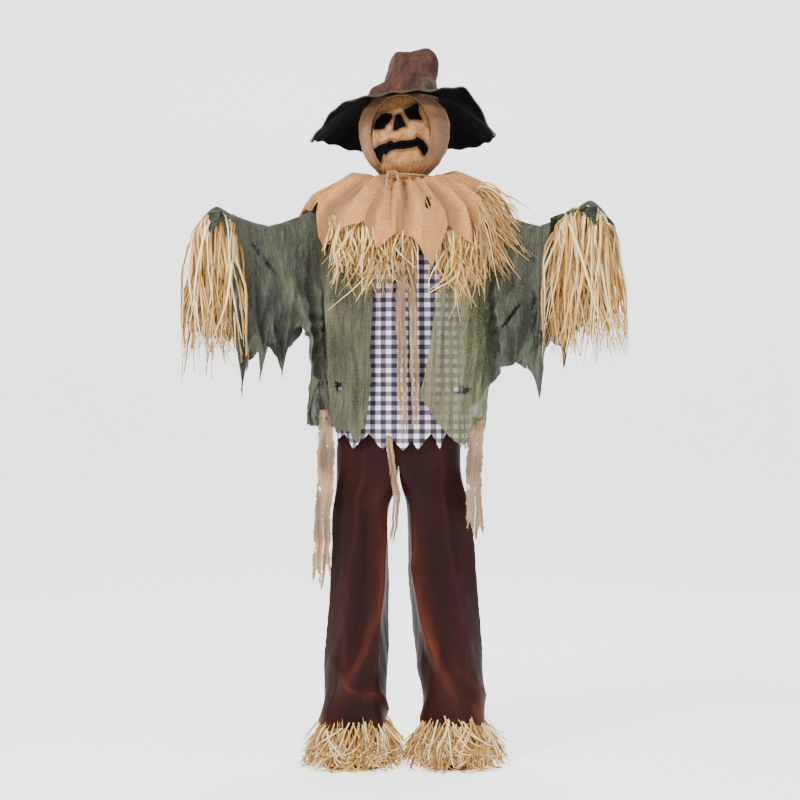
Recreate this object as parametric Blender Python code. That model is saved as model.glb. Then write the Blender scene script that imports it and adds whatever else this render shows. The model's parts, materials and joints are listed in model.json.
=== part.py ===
"""Standing scarecrow: a plug-together steel tube frame dressed in sacking, gauze, gingham and straw.

Metres, +Z up, origin on the floor below the middle of the figure. The front faces -Y. Left means the
-X side and right the +X side. Soft pieces are plain closed solids of the right size and place.
"""

from math import cos, pi, radians, sin, tau

import bmesh
import bpy
from mathutils import Matrix, Vector

# Clearances
GAP = 0.0004
PLUG_FIT = 0.0005
PIN_FIT = 0.0004

# Leg and spine tubes
TUBE_R = 0.0125
TUBE_WALL = 0.0015
PLUG_LENGTH = 0.050
FOOT_X = 0.127
FOOT_PLATE_R = 0.085
FOOT_PLATE_T = 0.004
HIP_X = 0.100

# Heights, each above the one before it
HIP_Z = 0.800
SPINE_RISE = 0.595
NECK_RISE = 0.105
HEAD_RISE = 0.105
CROWN_RISE = 0.095
CROWN_H = 0.129
KNEE_Z = 0.525 * HIP_Z
SHOULDER_Z = HIP_Z + SPINE_RISE
NECK_Z = SHOULDER_Z + NECK_RISE
HEAD_Z = NECK_Z + HEAD_RISE
CROWN_BASE_Z = HEAD_Z + CROWN_RISE
CROWN_TOP_Z = CROWN_BASE_Z + CROWN_H

# Shoulder bar and neck
SHOULDER_X = 0.185
BAR_W = 0.030
BAR_T = 0.006
NECK_SOCKET_R = 0.0145
NECK_SOCKET_H = 0.060
NECK_TUBE_R = 0.011

# Arms
ARM_YAW = radians(35)
ARM_TUBE_R = 0.011
UPPER_ARM = 0.200
UPPER_SLOPE = radians(-21)
FOREARM = 0.150
FOREARM_SLOPE = {-1: radians(15), 1: radians(21)}
KNUCKLE_R = 0.016
KNUCKLE_H = 0.026
EAR_T = 0.004
EAR_H = 0.010
TONGUE_T = 0.006
BOLT_R = 0.003

# Head and hat
HEAD_HALF = (0.093, 0.093, 0.108)
HEAD_WALL = 0.003
CLOTH = 0.004
MASK_LIFT = 0.003
HOOD_HALF = (0.1165, 0.116, 0.118)
HOOD_NECK_R = 0.050
HOOD_TUCK = 0.024
FACE_OPENING_X = -0.008
FACE_OPENING_HALF = (0.070, 0.098)
CROWN_R = 0.0860
CROWN_DEPTH_SHARE = 1.12
CROWN_Y = 0.020
CROWN_LEAN = 0.012
BRIM_HALF_X = 0.238
BRIM_HALF_Y = 0.2085
BRIM_Y = 0.0352

# Clothes
COLLAR_NECK_R = 0.064
NECK_BAND_H = 0.016
CORD_R = 0.0035
SHIRT_HEM_Z = HIP_Z
SHIRT_HALF = (SHOULDER_X - 0.007, 0.104)
SHIRT_TOP_Z = SHOULDER_Z + 0.055
JACKET_HEM_Z = HIP_Z + 0.035
JACKET_HALF = (SHOULDER_X + 0.024, 0.128)
JACKET_CHEST_X = SHOULDER_X + 0.058
JACKET_TOP_Z = SHOULDER_Z + 0.083
ARMHOLE_X = SHOULDER_X - 0.027
SHIRT_ARMHOLE_DROP = 0.135
JACKET_ARMHOLE_DROP = 0.295
HEM_POINT = 0.025
TROUSER_TOP_Z = HIP_Z + 0.105
TROUSER_HEM_Z = 0.092
TROUSER_WAIST = (0.162, 0.088)
LEG_HALF_X = 0.077
LEG_HALF_Y = 0.080
CROTCH_Z = HIP_Z - 0.035
CROTCH_ARCH = 0.035
SLEEVE_DEPTH = 0.036
SLEEVE_LIFT = 0.012
CUFF_REACH = 0.085

# Straw
FOOT_STRAW_R = 0.126
FOOT_STRAW_TOP = 0.150
HAND_STRAW_HALF_X = {-1: 0.058, 1: 0.080}
HAND_STRAW_HALF_Y = 0.034
HAND_STRAW_PAST_ELBOW = 0.1810
HAND_STRAW_FORWARD = 0.1058
HAND_STRAW_WALL = 0.006


def clear_scene():
    for old in list(bpy.data.objects):
        bpy.data.objects.remove(old, do_unlink=True)


def material(name, colour, roughness, metallic=0.0):
    made = bpy.data.materials.get(name)
    if made:
        return made
    made = bpy.data.materials.new(name)
    made.use_nodes = True
    shader = made.node_tree.nodes["Principled BSDF"]
    shader.inputs["Base Color"].default_value = (*colour, 1.0)
    shader.inputs["Roughness"].default_value = roughness
    shader.inputs["Metallic"].default_value = metallic
    made.diffuse_color = (*colour, 1.0)
    return made


def steel():
    return material("black steel tube", (0.035, 0.036, 0.040), 0.45, 0.6)


def zinc():
    return material("zinc fastener", (0.55, 0.56, 0.58), 0.35, 0.9)


def burlap():
    return material("burlap", (0.50, 0.33, 0.17), 0.95)


def gauze():
    return material("olive gauze", (0.115, 0.150, 0.085), 0.95)


def gingham():
    return material("gingham cotton", (0.42, 0.41, 0.48), 0.9)


def satin():
    return material("brown satin", (0.085, 0.028, 0.020), 0.45)


def rag():
    return material("beige rag", (0.45, 0.37, 0.27), 0.95)


def straw():
    return material("straw", (0.78, 0.60, 0.30), 0.8)


def felt():
    return material("brown felt", (0.110, 0.045, 0.030), 0.9)


def shell_plastic():
    return material("head shell plastic", (0.62, 0.60, 0.54), 0.6)


def add_object(name, bm, finish, smooth=True):
    mesh = bpy.data.meshes.new(name)
    bmesh.ops.recalc_face_normals(bm, faces=bm.faces)
    bm.to_mesh(mesh)
    bm.free()
    if smooth:
        mesh.shade_smooth()
        mesh.set_sharp_from_angle(angle=radians(40))
    mesh.materials.append(finish)
    obj = bpy.data.objects.new(name, mesh)
    bpy.context.scene.collection.objects.link(obj)
    return obj


def helper(obj):
    """Hides a piece that only shapes another one."""
    obj.hide_render = True
    obj.display_type = "WIRE"
    return obj


def boolean(obj, other, operation):
    step = obj.modifiers.new(operation.lower(), "BOOLEAN")
    step.operation = operation
    step.solver = "EXACT"
    step.object = helper(other)
    return obj


def upright(base, direction):
    """The matrix that stands local +Z along a direction at a base point."""
    turn = Vector((0, 0, 1)).rotation_difference(Vector(direction).normalized())
    return Matrix.Translation(Vector(base)) @ turn.to_matrix().to_4x4()


def turned(name, profile, base, direction, finish, sides=16, hollow=False):
    """Revolves (radius, height) points. A hollow profile is a closed loop clear of the axis; any other
    runs from the axis at one end to the axis at the other."""
    bm = bmesh.new()
    rings = []
    for radius, height in profile:
        if radius == 0:
            rings.append([bm.verts.new((0, 0, height))])
            continue
        ring = [(radius * cos(tau * k / sides), radius * sin(tau * k / sides), height) for k in range(sides)]
        rings.append([bm.verts.new(point) for point in ring])
    pairs = list(zip(rings, rings[1:]))
    if hollow:
        pairs.append((rings[-1], rings[0]))
    for low, high in pairs:
        for k in range(sides):
            corners = [low[k % len(low)], low[(k + 1) % len(low)]]
            corners += [high[(k + 1) % len(high)], high[k % len(high)]]
            bm.faces.new(list(dict.fromkeys(corners)))
    bm.transform(upright(base, direction))
    return add_object(name, bm, finish)


def rod(name, start, end, radius, finish, sides=16):
    along = Vector(end) - Vector(start)
    profile = [(0, 0), (radius, 0), (radius, along.length), (0, along.length)]
    return turned(name, profile, start, along, finish, sides)


def tube(name, start, end, radius, finish, plug_r=None, sides=16):
    """A tube. With plug_r its start carries a thinner end that plugs into the tube before it."""
    along = Vector(end) - Vector(start)
    bore = radius - TUBE_WALL
    profile = [(radius, 0), (radius, along.length), (bore, along.length)]
    if plug_r:
        inner = plug_r - TUBE_WALL
        profile += [(bore, TUBE_WALL), (inner, TUBE_WALL), (inner, -PLUG_LENGTH), (plug_r, -PLUG_LENGTH)]
        profile += [(plug_r, 0)]
    else:
        profile += [(bore, 0)]
    return turned(name, profile, start, along, finish, sides, hollow=True)


def block(name, low, high, matrix, finish):
    """A box between two corners of a local frame."""
    bm = bmesh.new()
    bmesh.ops.create_cube(bm, size=1.0)
    size = Vector(high) - Vector(low)
    middle = (Vector(high) + Vector(low)) / 2
    bmesh.ops.scale(bm, vec=size, verts=bm.verts)
    bmesh.ops.translate(bm, vec=middle, verts=bm.verts)
    bm.transform(matrix)
    return add_object(name, bm, finish, smooth=False)


def grid_solid(name, rows, thickness, finish, loop=False, offset=-1.0):
    """A sheet through a grid of points, given a wall by Solidify. A loop joins each row's ends."""
    bm = bmesh.new()
    verts = [[bm.verts.new(point) for point in row] for row in rows]
    count = len(rows[0])
    for low, high in zip(verts, verts[1:]):
        for k in range(count if loop else count - 1):
            after = (k + 1) % count
            bm.faces.new((low[k], low[after], high[after], high[k]))
    obj = add_object(name, bm, finish)
    wall = obj.modifiers.new("wall", "SOLIDIFY")
    wall.thickness = thickness
    wall.offset = offset
    wall.use_even_offset = True
    return obj


def loft(name, rings, finish):
    """A solid through closed rings of equal count, capped at both ends."""
    bm = bmesh.new()
    verts = [[bm.verts.new(point) for point in ring] for ring in rings]
    count = len(rings[0])
    for low, high in zip(verts, verts[1:]):
        for k in range(count):
            after = (k + 1) % count
            bm.faces.new((low[k], low[after], high[after], high[k]))
    bm.faces.new(verts[0][::-1])
    bm.faces.new(verts[-1])
    return add_object(name, bm, finish)


def ellipse(centre, half_x, half_y, count, start=0.0, sweep=tau, closed=True):
    """Points of a level ellipse or of an arc of one."""
    steps = count if closed else count - 1
    angles = [start + sweep * k / steps for k in range(count)]
    return [(centre[0] + half_x * cos(a), centre[1] + half_y * sin(a), centre[2]) for a in angles]


def lerp(stations, value):
    """Reads a list of (position, value) stations at a position, with straight runs between them."""
    for (before, low), (after, high) in zip(stations, stations[1:]):
        if value <= after:
            share = max(0.0, (value - before) / (after - before))
            return low + (high - low) * share
    return stations[-1][1]


def pivot(name, place):
    """An empty on a joint's axis, which the moving pieces hang from."""
    empty = bpy.data.objects.new(name, None)
    empty.location = place
    empty.empty_display_size = 0.03
    bpy.context.scene.collection.objects.link(empty)
    return empty


def hang(empty, *pieces):
    """Puts each piece's origin at the empty, and parents it there."""
    for piece in pieces:
        piece.data.transform(Matrix.Translation(-empty.location))
        piece.parent = empty


# Frame


def leg_line(side):
    foot = Vector((side * FOOT_X, 0, FOOT_PLATE_T))
    hip = Vector((side * HIP_X, 0, HIP_Z))
    return foot, hip, (hip - foot).normalized()


def on_leg(side, height):
    foot, hip, _ = leg_line(side)
    return foot.lerp(hip, (height - foot.z) / (hip.z - foot.z))


def leg(side, word):
    foot, hip, up = leg_line(side)
    plug_r = TUBE_R - TUBE_WALL - PLUG_FIT
    plate_profile = [(0, 0), (FOOT_PLATE_R, 0), (FOOT_PLATE_R, FOOT_PLATE_T), (0, FOOT_PLATE_T)]
    plate = turned(f"foot_plate_{word}", plate_profile, (foot.x, 0, 0), (0, 0, 1), steel(), 32)
    stub_start = foot - up * (FOOT_PLATE_T / 2)
    boolean(plate, rod(f"foot_stub_{word}", stub_start, foot + up * PLUG_LENGTH, plug_r, steel()), "UNION")
    lean = (foot.x - hip.x) * side / (hip - foot).length
    start = foot + up * (GAP + TUBE_R * lean)
    tube(f"lower_leg_tube_{word}", start, on_leg(side, KNEE_Z), TUBE_R, steel())
    top = hip - up * (TUBE_R + TUBE_R * lean + 2 * GAP)
    tube(f"upper_leg_tube_{word}", on_leg(side, KNEE_Z) + up * GAP, top, TUBE_R, steel(), plug_r)


def hip_bar():
    plug_r = TUBE_R - TUBE_WALL - PLUG_FIT
    reach = HIP_X + 2 * TUBE_R
    bar = rod("hip_bar", (-reach, 0, HIP_Z), (reach, 0, HIP_Z), TUBE_R, steel())
    for side in (-1, 1):
        _, hip, up = leg_line(side)
        boolean(bar, rod(f"hip_stub_{side}", hip, hip - up * PLUG_LENGTH, plug_r, steel()), "UNION")
    boolean(bar, rod("hip_stub_up", (0, 0, HIP_Z), (0, 0, HIP_Z + PLUG_LENGTH), plug_r, steel()), "UNION")


def spine_and_shoulder_bar():
    plug_r = TUBE_R - TUBE_WALL - PLUG_FIT
    bar_low = SHOULDER_Z - BAR_T / 2
    bar_high = SHOULDER_Z + BAR_T / 2
    tube("spine_tube", (0, 0, HIP_Z + TUBE_R + GAP), (0, 0, bar_low - GAP), TUBE_R, steel())
    rings = []
    for z in (bar_low, bar_high):
        ring = []
        for side in (1, -1):
            for k in range(13):
                angle = -side * pi / 2 + pi * k / 12
                ring.append((side * SHOULDER_X + BAR_W / 2 * cos(angle), BAR_W / 2 * sin(angle), z))
        rings.append(ring)
    bar = loft("shoulder_bar", rings, steel())
    for side in (-1, 1):
        middle = Vector((side * SHOULDER_X, 0, SHOULDER_Z))
        reach = Vector((0, 0, 2 * BAR_T))
        hole = rod(f"bar_hole_{side}", middle - reach, middle + reach, BOLT_R + PIN_FIT, steel())
        boolean(bar, hole, "DIFFERENCE")
    stub = rod("spine_stub", (0, 0, bar_low - PLUG_LENGTH), (0, 0, SHOULDER_Z), plug_r, steel())
    boolean(bar, stub, "UNION")
    socket = rod("neck_socket", (0, 0, SHOULDER_Z), (0, 0, bar_high + NECK_SOCKET_H), NECK_SOCKET_R, steel())
    boolean(bar, socket, "UNION")
    bore = rod("neck_bore", (0, 0, bar_high + BAR_T), (0, 0, bar_high + 2 * NECK_SOCKET_H),
               NECK_TUBE_R + PIN_FIT, steel())
    boolean(bar, bore, "DIFFERENCE")


def bolt(name, start, direction, grip):
    """A round-headed bolt: the head sits below the start, and the shank runs past the grip."""
    head_r = 2.1 * BOLT_R
    reach = grip + 4 * BOLT_R
    top = -1.2 * BOLT_R
    profile = [(0, top), (head_r, top), (head_r, 0), (BOLT_R, 0), (BOLT_R, reach), (0, reach)]
    return turned(name, profile, start, direction, zinc(), 16)


def wing_nut(name, start, direction):
    hub_r = 1.9 * BOLT_R
    bore = BOLT_R + PIN_FIT
    height = 2.2 * BOLT_R
    profile = [(bore, 0), (hub_r, 0), (hub_r, height), (bore, height)]
    nut = turned(name, profile, start, direction, zinc(), 16, hollow=True)
    place = upright(start, direction)
    for side in (-1, 1):
        near = side * (bore + (hub_r - bore) / 2)
        far = side * 3.6 * BOLT_R
        low = (min(near, far), -0.3 * BOLT_R, 0.5 * BOLT_R)
        high = (max(near, far), 0.3 * BOLT_R, 3.4 * BOLT_R)
        boolean(nut, block(f"{name}_wing_{side}", low, high, place, zinc()), "UNION")
    return nut


# Arms


def arm_points(side):
    """Shoulder, elbow and wrist on the arm's middle line, and the two directions."""
    level = Vector((side * cos(ARM_YAW), -sin(ARM_YAW), 0))
    rise = Vector((0, 0, 1))
    upper = level * cos(UPPER_SLOPE) + rise * sin(UPPER_SLOPE)
    fore = level * cos(FOREARM_SLOPE[side]) + rise * sin(FOREARM_SLOPE[side])
    shoulder = Vector((side * SHOULDER_X, 0, SHOULDER_Z + BAR_T / 2 + GAP + 0.66 * KNUCKLE_H))
    elbow = shoulder + upper * UPPER_ARM
    return shoulder, elbow, elbow + fore * FOREARM, upper, fore


def hinge_axis(side):
    """The elbow's level axis, square to the arm."""
    level = Vector((side * cos(ARM_YAW), -sin(ARM_YAW), 0))
    return Vector((0, 0, 1)).cross(level)


def frame_along(origin, along, across):
    """A matrix whose X runs along, Y across and Z is square to both."""
    up = along.cross(across)
    turn = Matrix((along, across, up)).transposed().to_4x4()
    return Matrix.Translation(origin) @ turn


def ear_plate(name, place, back_x, near, far):
    """A flat ear across the hinge, with a round end about the hinge axis."""
    rings = []
    for y in (near, far):
        ring = [(back_x, y, -EAR_H), (back_x, y, EAR_H)]
        for k in range(9):
            angle = pi / 2 - pi * k / 8
            ring.append((EAR_H * cos(angle) * (1 if back_x < 0 else -1), y, EAR_H * sin(angle)))
        rings.append([place @ Vector(point) for point in ring])
    return loft(name, rings, steel())


def forked_end(name, place, stub_r, gaps, toward, length):
    """A plug with flat ears: gaps gives each ear's range across, and toward is the side of the hinge that
    the plug is on, -1 or 1."""
    wide = max(abs(edge) for gap in gaps for edge in gap) + GAP
    tall = EAR_H + GAP
    near_x = toward * 1.8 * EAR_H
    far_x = toward * length
    low = (min(near_x, far_x), -wide, -tall)
    base = block(name, low, (max(near_x, far_x), wide, tall), place, steel())
    middle_x = (near_x + far_x) / 2
    stub_ends = [place @ Vector((x, 0, 0)) for x in (middle_x, far_x + toward * PLUG_LENGTH / 2)]
    boolean(base, rod(f"{name}_stub", *stub_ends, stub_r, steel()), "UNION")
    for k, (near, far) in enumerate(gaps):
        boolean(base, ear_plate(f"{name}_ear_{k}", place, middle_x, near, far), "UNION")
    ends = [place @ Vector((0, y, 0)) for y in (-2 * wide, 2 * wide)]
    boolean(base, rod(f"{name}_hole", *ends, BOLT_R + PIN_FIT, steel()), "DIFFERENCE")
    return base


def arm(side, word):
    shoulder, elbow, wrist, upper, fore = arm_points(side)
    stub_r = ARM_TUBE_R - TUBE_WALL - PLUG_FIT
    bar_high = SHOULDER_Z + BAR_T / 2
    bar_low = SHOULDER_Z - BAR_T / 2
    foot = Vector((shoulder.x, 0, bar_high + GAP))
    turn = pivot(f"shoulder_axis_{word}", foot)

    knuckle = rod(f"shoulder_knuckle_{word}", foot, foot + Vector((0, 0, KNUCKLE_H)), KNUCKLE_R, steel(), 24)
    stub = rod(f"knuckle_stub_{word}", shoulder, shoulder + upper * (KNUCKLE_R + PLUG_LENGTH), stub_r, steel())
    boolean(knuckle, stub, "UNION")
    hole = rod(f"knuckle_hole_{word}", foot - Vector((0, 0, BAR_T)), foot + Vector((0, 0, 2 * KNUCKLE_H)),
               BOLT_R + PIN_FIT, steel())
    boolean(knuckle, hole, "DIFFERENCE")
    grip = KNUCKLE_H + BAR_T + 2 * GAP
    head = foot + Vector((0, 0, KNUCKLE_H + GAP))
    bolt(f"shoulder_bolt_{word}", head, (0, 0, -1), grip)
    wing_nut(f"shoulder_wing_nut_{word}", (foot.x, 0, bar_low - GAP), (0, 0, -1))

    ear_out = TONGUE_T / 2 + GAP + EAR_T
    base_back = 3.0 * EAR_H
    start = shoulder + upper * (KNUCKLE_R + 0.010)
    end = elbow - upper * (base_back + GAP)
    upper_tube = tube(f"upper_arm_tube_{word}", start, end, ARM_TUBE_R, steel())
    across = hinge_axis(side)
    ears = [(TONGUE_T / 2 + GAP, ear_out), (-ear_out, -TONGUE_T / 2 - GAP)]
    fork_place = frame_along(elbow, upper, across)
    fork = forked_end(f"elbow_fork_{word}", fork_place, stub_r, ears, -1, base_back)
    back = across * side
    reach = ear_out + 2 * GAP
    elbow_bolt = bolt(f"elbow_bolt_{word}", elbow - back * reach, back, 2 * reach)
    elbow_nut = wing_nut(f"elbow_wing_nut_{word}", elbow + back * reach, back)

    bend = pivot(f"elbow_axis_{word}", elbow)
    tongue_place = frame_along(elbow, fore, across)
    tongue_ear = [(-TONGUE_T / 2, TONGUE_T / 2)]
    tongue = forked_end(f"elbow_tongue_{word}", tongue_place, stub_r, tongue_ear, 1, base_back)
    fore_tube = tube(f"forearm_tube_{word}", elbow + fore * (base_back + GAP), wrist, ARM_TUBE_R, steel())

    hang(turn, knuckle, upper_tube, fork, elbow_bolt, elbow_nut, *upper_sleeve(side, word))
    if side > 0:
        hang(turn, shoulder_straw(side, word))
    hang(bend, tongue, fore_tube, *lower_sleeve(side, word), hand_straw(side, word))


def sleeve_saddle(name, side, stations):
    """A gauze sleeve open below: over the arm like a saddle. Each station gives the middle of its top,
    its half depth and the height of its hem."""
    across = hinge_axis(side) * side
    rows = []
    for top, depth, hem in stations:
        row = [top + across * depth * 1.25 + Vector((0, 0, hem - top.z))]
        row.append(top + across * depth * 1.12 + Vector((0, 0, (hem - top.z) / 2)))
        for k in range(7):
            angle = pi * k / 6
            arc = across * depth * cos(angle)
            row.append(top + arc + Vector((0, 0, depth * (sin(angle) - 1))))
        row.append(top - across * depth * 1.12 + Vector((0, 0, (hem - top.z) / 2)))
        row.append(top - across * depth * 1.25 + Vector((0, 0, hem - top.z)))
        rows.append(row)
    return grid_solid(name, rows, CLOTH, gauze(), offset=0.0)


def sleeve_top(side, along):
    """The top of the sleeve above the arm's middle line, at a distance from the shoulder."""
    shoulder, elbow, _, upper, fore = arm_points(side)
    if along <= UPPER_ARM:
        return shoulder + upper * along + Vector((0, 0, ARM_TUBE_R + SLEEVE_LIFT))
    return elbow + fore * (along - UPPER_ARM) + Vector((0, 0, ARM_TUBE_R + SLEEVE_LIFT))


def upper_sleeve(side, word):
    stations = []
    last = 1 - SLEEVE_LIFT / UPPER_ARM
    for share, drop in ((1 - last, 0.195), (0.4, 0.275), (0.7, 0.345), (last, 0.405)):
        stations.append((sleeve_top(side, share * UPPER_ARM), SLEEVE_DEPTH, SHOULDER_Z - drop))
    return [sleeve_saddle(f"sleeve_upper_{word}", side, stations)]


def lower_sleeve(side, word):
    stations = []
    for along, drop in ((-0.008, 0.410), (0.030, 0.395), (0.062, 0.335), (CUFF_REACH, 0.295)):
        top = sleeve_top(side, UPPER_ARM + along)
        stations.append((top, SLEEVE_DEPTH * 0.9, SHOULDER_Z - drop))
    return [sleeve_saddle(f"sleeve_lower_{word}", side, stations)]


def hand_straw(side, word):
    """A skirt of straw that hangs from the end of the forearm, with a hole for the tube."""
    _, elbow, wrist, _, fore = arm_points(side)
    wide = HAND_STRAW_HALF_X[side]
    middle_x = elbow.x + side * (HAND_STRAW_PAST_ELBOW - wide)
    rings = []
    for rise, share, depth in ((-0.415, 0.45, 0.6), (-0.360, 0.75, 0.8), (-0.250, 0.95, 0.95),
                               (-0.100, 1.0, 1.0), (-0.010, 0.85, 0.85), (0.012, 0.45, 0.5)):
        centre = (middle_x, elbow.y - HAND_STRAW_FORWARD, wrist.z + rise)
        rings.append(ellipse(centre, wide * share, HAND_STRAW_HALF_Y * depth, 16))
    bundle = grid_solid(f"straw_hand_{word}", rings, HAND_STRAW_WALL, straw(), loop=True)
    bundle.modifiers["wall"].use_even_offset = False
    room = rod(f"straw_room_{word}", elbow, wrist + fore * GAP * 2, ARM_TUBE_R + 3 * GAP, steel())
    return boolean(bundle, room, "DIFFERENCE")


def shoulder_straw(side, word):
    """Straw that pokes out of the torn shoulder, in front of the sleeve."""
    shoulder, _, _, _, _ = arm_points(side)
    level = Vector((side * cos(ARM_YAW), -sin(ARM_YAW), 0))
    front = -hinge_axis(side) * side * (SLEEVE_DEPTH * 1.25 + 0.012)
    rows = []
    for drop, ragged in ((0.110, 0.014), (0.060, 0.0), (0.013, 0.0)):
        row = []
        for k in range(5):
            place = shoulder + level * (0.35 + 0.11 * k) * UPPER_ARM + front
            row.append((place.x, place.y, SHOULDER_Z - drop + ragged * (k % 2)))
        rows.append(row)
    return grid_solid(f"straw_shoulder_{word}", rows, 0.010, straw(), offset=0.0)


# Head and hat


def head():
    low = SHOULDER_Z + BAR_T / 2 + BAR_T + GAP
    turn = pivot("head_axis", (0, 0, low))
    neck_tube = tube("neck_tube", (0, 0, low), (0, 0, HEAD_Z), NECK_TUBE_R, steel())
    form = turned("head_form", head_profile(), (0, 0, HEAD_Z), (0, 0, 1), shell_plastic(), 20)
    hang(turn, neck_tube, form, face_mask(), hood())


def head_profile():
    """A hollow head, open below round the neck tube, with a boss inside that grips it."""
    mouth = NECK_TUBE_R + GAP
    steps = 8
    inner = (HEAD_HALF[0] - HEAD_WALL, HEAD_HALF[2] - HEAD_WALL)
    outside = []
    inside = []
    for k in range(steps):
        angle = pi / 2 - (pi - radians(16)) * k / steps
        outside.append((HEAD_HALF[0] * cos(angle) if k else 0, HEAD_HALF[2] * sin(angle)))
        inside.append((inner[0] * cos(angle) if k else 0, inner[1] * sin(angle)))
    low = -HEAD_HALF[2] * 0.99
    boss = [(mouth, low), (mouth, low + 10 * HEAD_WALL), (mouth + HEAD_WALL, low + 10 * HEAD_WALL)]
    boss.append((mouth + HEAD_WALL, low + 2 * HEAD_WALL))
    return outside + [(2.2 * mouth, low)] + boss + inside[::-1]


def face_mask():
    """A curved patch of sacking in front of the head form."""
    half = [size + MASK_LIFT for size in HEAD_HALF]
    rows = []
    for i in range(9):
        rise = radians(-52) + radians(104) * i / 8
        row = []
        for j in range(9):
            turn = radians(-40) + radians(80) * j / 8
            row.append((half[0] * cos(rise) * sin(turn), -half[1] * cos(rise) * cos(turn),
                        HEAD_Z + half[2] * sin(rise)))
        rows.append(row)
    return grid_solid("face_mask", rows, CLOTH, burlap(), offset=1.0)


def hood():
    """A sack over the head, gathered at the neck and cut open over the face."""
    outline = [(NECK_Z - HOOD_TUCK, HOOD_NECK_R), (NECK_Z, HOOD_NECK_R + CLOTH)]
    low_angle = radians(-50)
    for k in range(7):
        angle = low_angle + (radians(76) - low_angle) * k / 6
        outline.append((HEAD_Z + HOOD_HALF[2] * sin(angle), HOOD_HALF[0] * cos(angle)))
    rows = [ellipse((0, 0, z), r, r * HOOD_HALF[1] / HOOD_HALF[0], 24) for z, r in outline]
    sack = closed_top("hood", rows, (0, 0, HEAD_Z + HOOD_HALF[2]), burlap())
    opening = ellipse_prism("face_opening", (FACE_OPENING_X, HEAD_Z), FACE_OPENING_HALF, -0.20, -0.030)
    return boolean(sack, opening, "DIFFERENCE")


def closed_top(name, rows, top, finish):
    """A shell through closed rings that ends in one point on top, with its wall on the inside."""
    count = len(rows[0])
    bm = bmesh.new()
    verts = [[bm.verts.new(point) for point in row] for row in rows]
    verts.append([bm.verts.new(top)] * count)
    for low, high in zip(verts, verts[1:]):
        for k in range(count):
            after = (k + 1) % count
            corners = (low[k], low[after], high[after], high[k])
            bm.faces.new(list(dict.fromkeys(corners)))
    shell = add_object(name, bm, finish)
    wall = shell.modifiers.new("wall", "SOLIDIFY")
    wall.thickness = CLOTH
    wall.offset = -1.0
    return shell


def ellipse_prism(name, middle, half, near_y, far_y):
    """An upright oval carried from one Y to another."""
    rings = []
    for y in (near_y, far_y):
        ring = []
        for k in range(24):
            angle = tau * k / 24
            ring.append((middle[0] + half[0] * cos(angle), y, middle[1] + half[1] * sin(angle)))
        rings.append(ring)
    return loft(name, rings, burlap())


def brim_height(angle, share):
    """Height of the brim over a direction, from 0 at the crown to 1 at the edge. It is near level in
    front, and droops at the sides and the back."""
    side = abs(cos(angle))
    back = max(0.0, sin(angle))
    front = max(0.0, -sin(angle))
    droop = 0.100 * side**2 + 0.105 * back**2 - 0.004 * front
    return CROWN_BASE_Z - droop * share**1.6


def hat():
    turn = pivot("hat_lift", (0, 0, CROWN_BASE_Z))
    count = 32
    crown_rows = []
    for share, width in ((0.0, 1.0), (0.233, 0.919), (0.481, 0.756), (0.736, 0.605),
                         (0.922, 0.488), (0.99, 0.279)):
        z = CROWN_BASE_Z + CROWN_H * share
        r = CROWN_R * width
        crown_rows.append(ellipse((CROWN_LEAN * share, CROWN_Y, z), r, r * CROWN_DEPTH_SHARE, 24))
    crown = closed_top("hat_crown", crown_rows, (CROWN_LEAN, CROWN_Y, CROWN_TOP_Z), felt())
    inner = CROWN_R + GAP + CLOTH
    rows = []
    for i in range(5):
        share = i / 4
        row = []
        for k in range(count):
            angle = tau * k / count
            half_x = inner + (BRIM_HALF_X - inner) * share
            inner_y = inner * CROWN_DEPTH_SHARE
            half_y = inner_y + (BRIM_HALF_Y - inner_y) * share
            middle_y = CROWN_Y + (BRIM_Y - CROWN_Y) * share
            row.append((half_x * cos(angle), middle_y + half_y * sin(angle), brim_height(angle, share)))
        rows.append(row)
    brim = grid_solid("hat_brim", rows, CLOTH, felt(), loop=True, offset=1.0)
    hang(turn, crown, brim)


# Clothes


def collar():
    """A sacking collar: gathered upright at the neck, then over the shoulders, with its edge in points."""
    count = 40
    rows = [ellipse((0, 0, NECK_Z), COLLAR_NECK_R - CLOTH, COLLAR_NECK_R - CLOTH, count),
            ellipse((0, 0, NECK_Z - NECK_BAND_H), COLLAR_NECK_R, COLLAR_NECK_R, count)]
    for half_x, half_y, drop in ((0.135, 0.118, 0.010), (0.200, 0.148, 0.036), (0.245, 0.158, 0.085)):
        row = []
        for k in range(count):
            angle = tau * k / count
            level = abs(sin(angle))
            point = (0.5 + 0.5 * cos(5 * angle)) if drop > 0.05 else 0.0
            hang_down = drop * (0.55 + 0.85 * level**2) + point * (0.012 + 0.075 * level**2)
            row.append((half_x * cos(angle), half_y * sin(angle), NECK_Z - hang_down))
        rows.append(row)
    grid_solid("collar", rows, CLOTH, burlap(), loop=True, offset=1.0)


def shirt():
    rows = []
    for below_top, wide, deep in ((0.350, 0.99, 1.0), (0.070, 0.90, 0.85),
                                  (0.025, 0.72, 0.72), (0.0, 0.38, 0.52)):
        middle = (0, 0, SHIRT_TOP_Z - below_top)
        rows.append(ellipse(middle, SHIRT_HALF[0] * wide, SHIRT_HALF[1] * deep, 28))
    for above_hem in (0.100, 0.0):
        row = ellipse((0, 0, SHIRT_HEM_Z + above_hem), *SHIRT_HALF, 28)
        if above_hem == 0.0:
            row = pointed(row, 1.8 * HEM_POINT)
        rows.insert(0, row)
    body = grid_solid("shirt", rows, CLOTH / 2, gingham(), loop=True)
    armholes(body, "shirt", SHOULDER_Z - SHIRT_ARMHOLE_DROP, ARMHOLE_X - 6 * CLOTH)


def pointed(row, lift):
    """A hem in points: every other point of the row is lifted."""
    return [(x, y, z + lift * (k % 2)) for k, (x, y, z) in enumerate(row)]


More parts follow.
